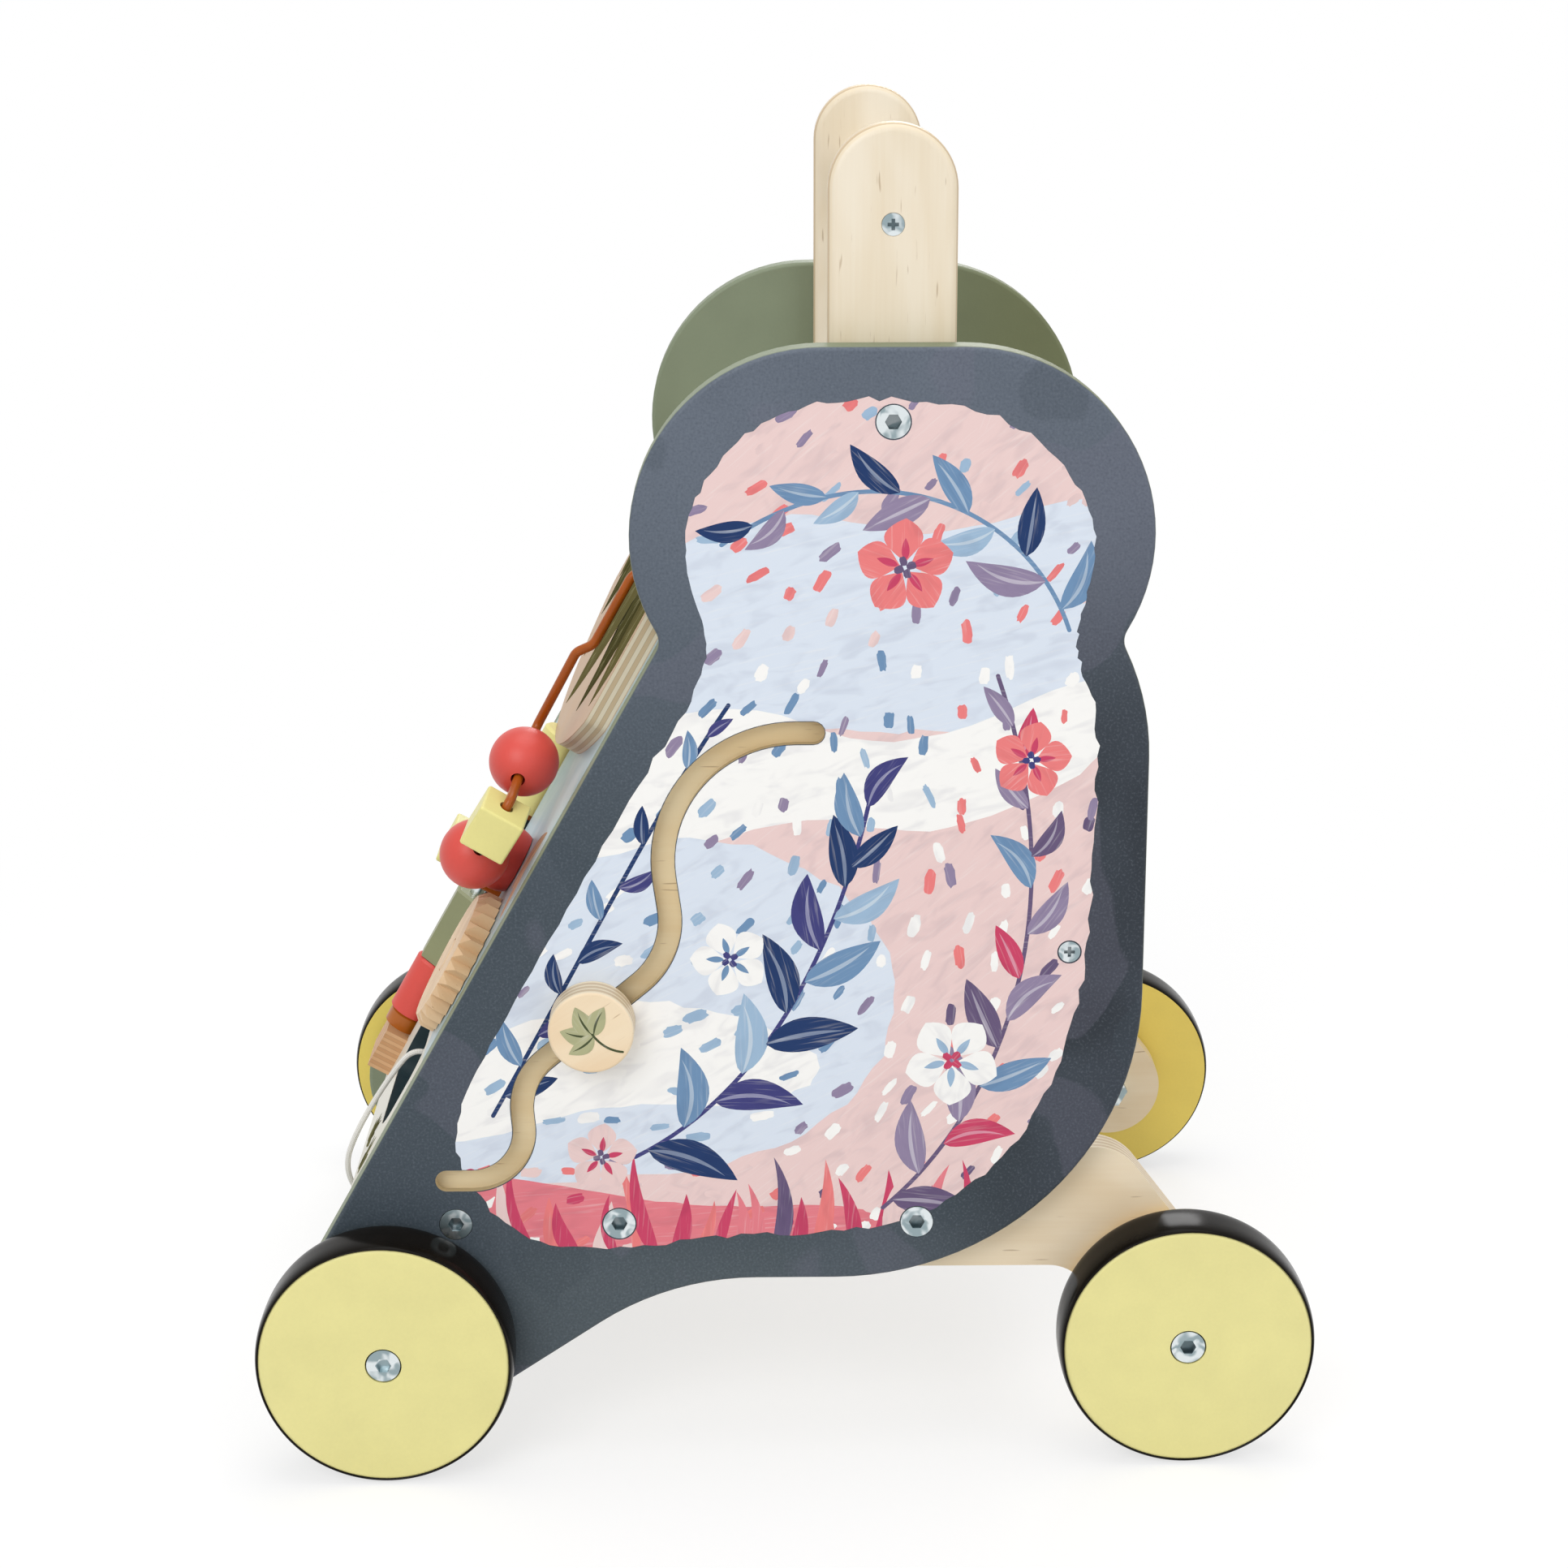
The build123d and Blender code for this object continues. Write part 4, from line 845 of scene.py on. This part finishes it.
def painted(name, colour, roughness_lift=0.0, inner_face=None, inner_shade_colour=None):
    """Satin paint on a turned or sawn wooden piece, with a painted shade colour on its inner face if one is
    given.
    """
    material, tree, shader, coords = new_finish(name, {"Specular IOR Level": 0.42})
    if inner_face is not None:
        off_face = band(tree, off_middle(tree, coords), inner_face + 0.0002, inner_face + 0.0008)
        colour = mixed(tree, off_face, inner_shade_colour, colour)
    skin = use(tree, painted_skin, Vector=coords, Color=colour)
    coat(tree, shader, skin["Color"], calc(tree, "ADD", skin["Roughness"], roughness_lift))
    roughen(tree, shader, skin["Height"], 0.18, 0.0002)
    return material


for end in ("front", "rear"):
    inner_face = -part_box(f"{end}_left_wheel")[1].y
    # Painted shade: the inner face is painted a deeper honey than the lemon outer face.
    lemon = painted(f"{end}_lemon", paint(234, 226, 154), 0.0, inner_face, paint(246, 221, 109))
    dress(lemon, f"{end}_left_wheel", f"{end}_right_wheel")

tyre_finish, tree, shader, coords = new_finish("black_tyre", {"IOR": 1.15})
scuff = cloud(tree, coords, 160.0, 3.0)
coat(tree, shader, mixed(tree, scuff, paint(16, 14, 11), paint(28, 24, 20)),
     calc(tree, "MULTIPLY_ADD", scuff, 0.12, 0.14))
roughen(tree, shader, cloud(tree, coords, 1400.0), 0.05, 0.0001)


def crowned_tyre(name, low, high):
    """A tyre: its height over the disc is the root of one less the cube of the distance from the middle of
    its width, and that outline is carried once round the axle."""
    middle, half_width, radius = (low + high) / 2.0, (high.y - low.y) / 2.0, (high.z - low.z) / 2.0
    share = -np.cos(np.linspace(0.0, np.pi, 29))
    crown = radius - tyre_wall + tyre_wall * np.sqrt(1.0 - np.abs(share) ** 3)
    turn = round_turn(160)[:, None]
    rim = np.stack((crown * np.cos(turn), half_width * share + 0.0 * turn, crown * np.sin(turn)), axis=-1)
    grid = np.arange(rim.size // 3).reshape(rim.shape[:2])
    onward = np.roll(grid, -1, axis=0)
    faces = np.stack((grid, np.roll(grid, -1, axis=1), np.roll(onward, -1, axis=1), onward), axis=-1)
    made = new_piece(name, (np.array(middle) + rim).reshape(-1, 3), faces.reshape(-1, 4).tolist())
    made.data.shade_smooth()
    made.data.materials.append(tyre_finish)
    return made


for corner in corners:
    tyre = crowned_tyre(f"{corner}_tyre_band", *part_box(f"{corner}_tyre"))
    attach(tyre, f"{corner}_wheel_set")
    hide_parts(f"{corner}_tyre")

bush_finish, tree, shader, coords = new_finish("bush_plastic", {"Specular IOR Level": 0.4})
mould = cloud(tree, coords, 900.0)
coat(tree, shader, mixed(tree, mould, paint(44, 44, 47), paint(58, 58, 62)),
     calc(tree, "MULTIPLY_ADD", mould, 0.2, 0.4))
roughen(tree, shader, mould, 0.1, 0.0001)
dress(bush_finish, *(f"{corner}_bush" for corner in corners))


def plated(name, face):
    """Bright zinc plate on a head that looks sideways: clouded metal, with painted shade darkening the
    hollow below its face.
    """
    material, tree, shader, coords = new_finish(name, {"Metallic": 1.0})
    # Painted shade: darker metal in the hollow below the head's face.
    recess_shade = band(tree, off_middle(tree, coords), face - 0.0004, face - 0.0012)
    haze = cloud(tree, coords, 210.0, 1.0, 0.6)
    bright = mixed(tree, band(tree, haze, 0.40, 0.60), paint(224, 231, 233), paint(150, 167, 172))
    coat(tree, shader, washed(tree, recess_shade, 0.7, bright, paint(52, 66, 72)),
         calc(tree, "MULTIPLY_ADD", haze, 0.16, 0.23))
    roughen(tree, shader, cloud(tree, coords, 2200.0), 0.03, 0.0001)
    return material


rear_axle_gap = 0.0098
axle_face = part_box("axle_bolts")[1].y - rear_axle_gap
dress(plated("panel_zinc", panel_in + panel_thickness), "panel_bolts", "bin_screws")
dress(plated("arm_zinc", panel_in), "handle_screws")
dress(plated("axle_zinc", axle_face), "axle_bolts")
dress(plated("inner_zinc", 0.0), "axle_washers", "axle_nuts", "arm_tee_nuts", "barrel_nuts", "roller_rod",
      "left_knob_stem", "right_knob_stem")


# Toys on the front board: turned and sawn beads, rollers and pegs in satin paint, a lacquered orange wire,
# a toothed wheel of bare beech and a plywood block for the rod.
block_low, block_height, block_layers = 0.0034, 0.0164, 11.0
dress(painted("coral_paint", paint(219, 80, 71), 0.04), "upper_ball", "lower_ball", "peg_ball", "red_roller")
dress(painted("pale_yellow_paint", paint(233, 224, 146)), "cube_bead", "peg_cube", "yellow_roller")
dress(painted("sage_paint", paint(140, 143, 106)), "sage_roller", "peg_ball_ring", "peg_cube_ring")
dress(painted("amber_paint", paint(178, 98, 24), -0.08), "roller_spacer", "rod_collar")

wire_lacquer, tree, shader, coords = new_finish("orange_lacquer", {"Specular IOR Level": 0.3})
drift = cloud(tree, coords, 120.0)
coat(tree, shader, mixed(tree, drift, paint(184, 94, 24), paint(148, 70, 14)),
     calc(tree, "MULTIPLY_ADD", drift, 0.12, 0.2))
roughen(tree, shader, drift, 0.06, 0.0003)
dress(wire_lacquer, "bead_wire")

beech_turn = (0.0, -float(np.arctan2(board_up[2], board_up[0])), 0.0)
beech_tones = paint(238, 206, 166), paint(220, 184, 142)
dress(birch("bare_beech", beech_turn, beech_tones), "gear_wheel", "gear_pin")

block_ply, tree, shader, coords = new_finish("block_ply", {"Specular IOR Level": 0.35})
depth = calc(tree, "DIVIDE", calc(tree, "ADD", from_foot(tree, coords, board_up), block_low), block_height)
edge = use(tree, ply_edge, Depth=depth, Layers=block_layers, Pale=paint(220, 177, 134),
           Dark=paint(205, 158, 114))
fibre = cloud(tree, coords, 300.0, 3.0)
coat(tree, shader, washed(tree, fibre, 0.3, edge["Color"], paint(176, 124, 78)),
     calc(tree, "MULTIPLY_ADD", fibre, 0.2, 0.45))
roughen(tree, shader, fibre, 0.2, 0.0002)
dress(block_ply, "rod_block")


# Track knobs: birch plywood discs with bare layered rims and a small leaf printed on the face. Each one is
# glued on a flanged steel stem that runs in the panel's track and keeps the knob from coming out.
knob_middle = np.array((-68.2988, 167.407))
knob_turn = (0.0, 0.6, 0.0)
knob_plies = (sideways_on, 0.1263, 0.011, 7.0)
knob_tones = paint(244, 224, 192), paint(236, 208, 170)
dress(birch("knob_birch", knob_turn, knob_tones, knob_plies), "left_knob", "right_knob")
leaf_green, leaf_vein = (178, 178, 138), (74, 82, 54)
leaf_heart = np.array((1.0, -1.0))
leaf_foot = knob_middle + leaf_heart
knob_leaf = [(ring(knob_middle, 13.5), fern, 0.0)]
for tip, width in (((-10.8, 0.6), 7.2), ((-5.4, 9.6), 7.2), ((4.8, 9.6), 6.6), ((-7.8, -7.8), 6.0)):
    for share, wide, colour in ((1.0, width, leaf_green), (0.85, 0.8, leaf_vein)):
        lobe = blade(leaf_foot, leaf_foot + share * (tip - leaf_heart), wide, 0.08)
        knob_leaf.append((lobe, colour, pointing(leaf_heart, tip)))
knob_stalk = knob_middle + arc_line(((0.5, -0.5), (4.6, -6.4), (11.0, -7.0)), 12)
knob_leaf.append((ribbon(knob_stalk, 0.8), leaf_vein, 0.0))
knob_top = per_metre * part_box("right_knob")[1].y + per_metre * ink_lift
print_both_sides("knob_print", knob_leaf, [], knob_top, ("left_knob_set", "right_knob_set"), 1)
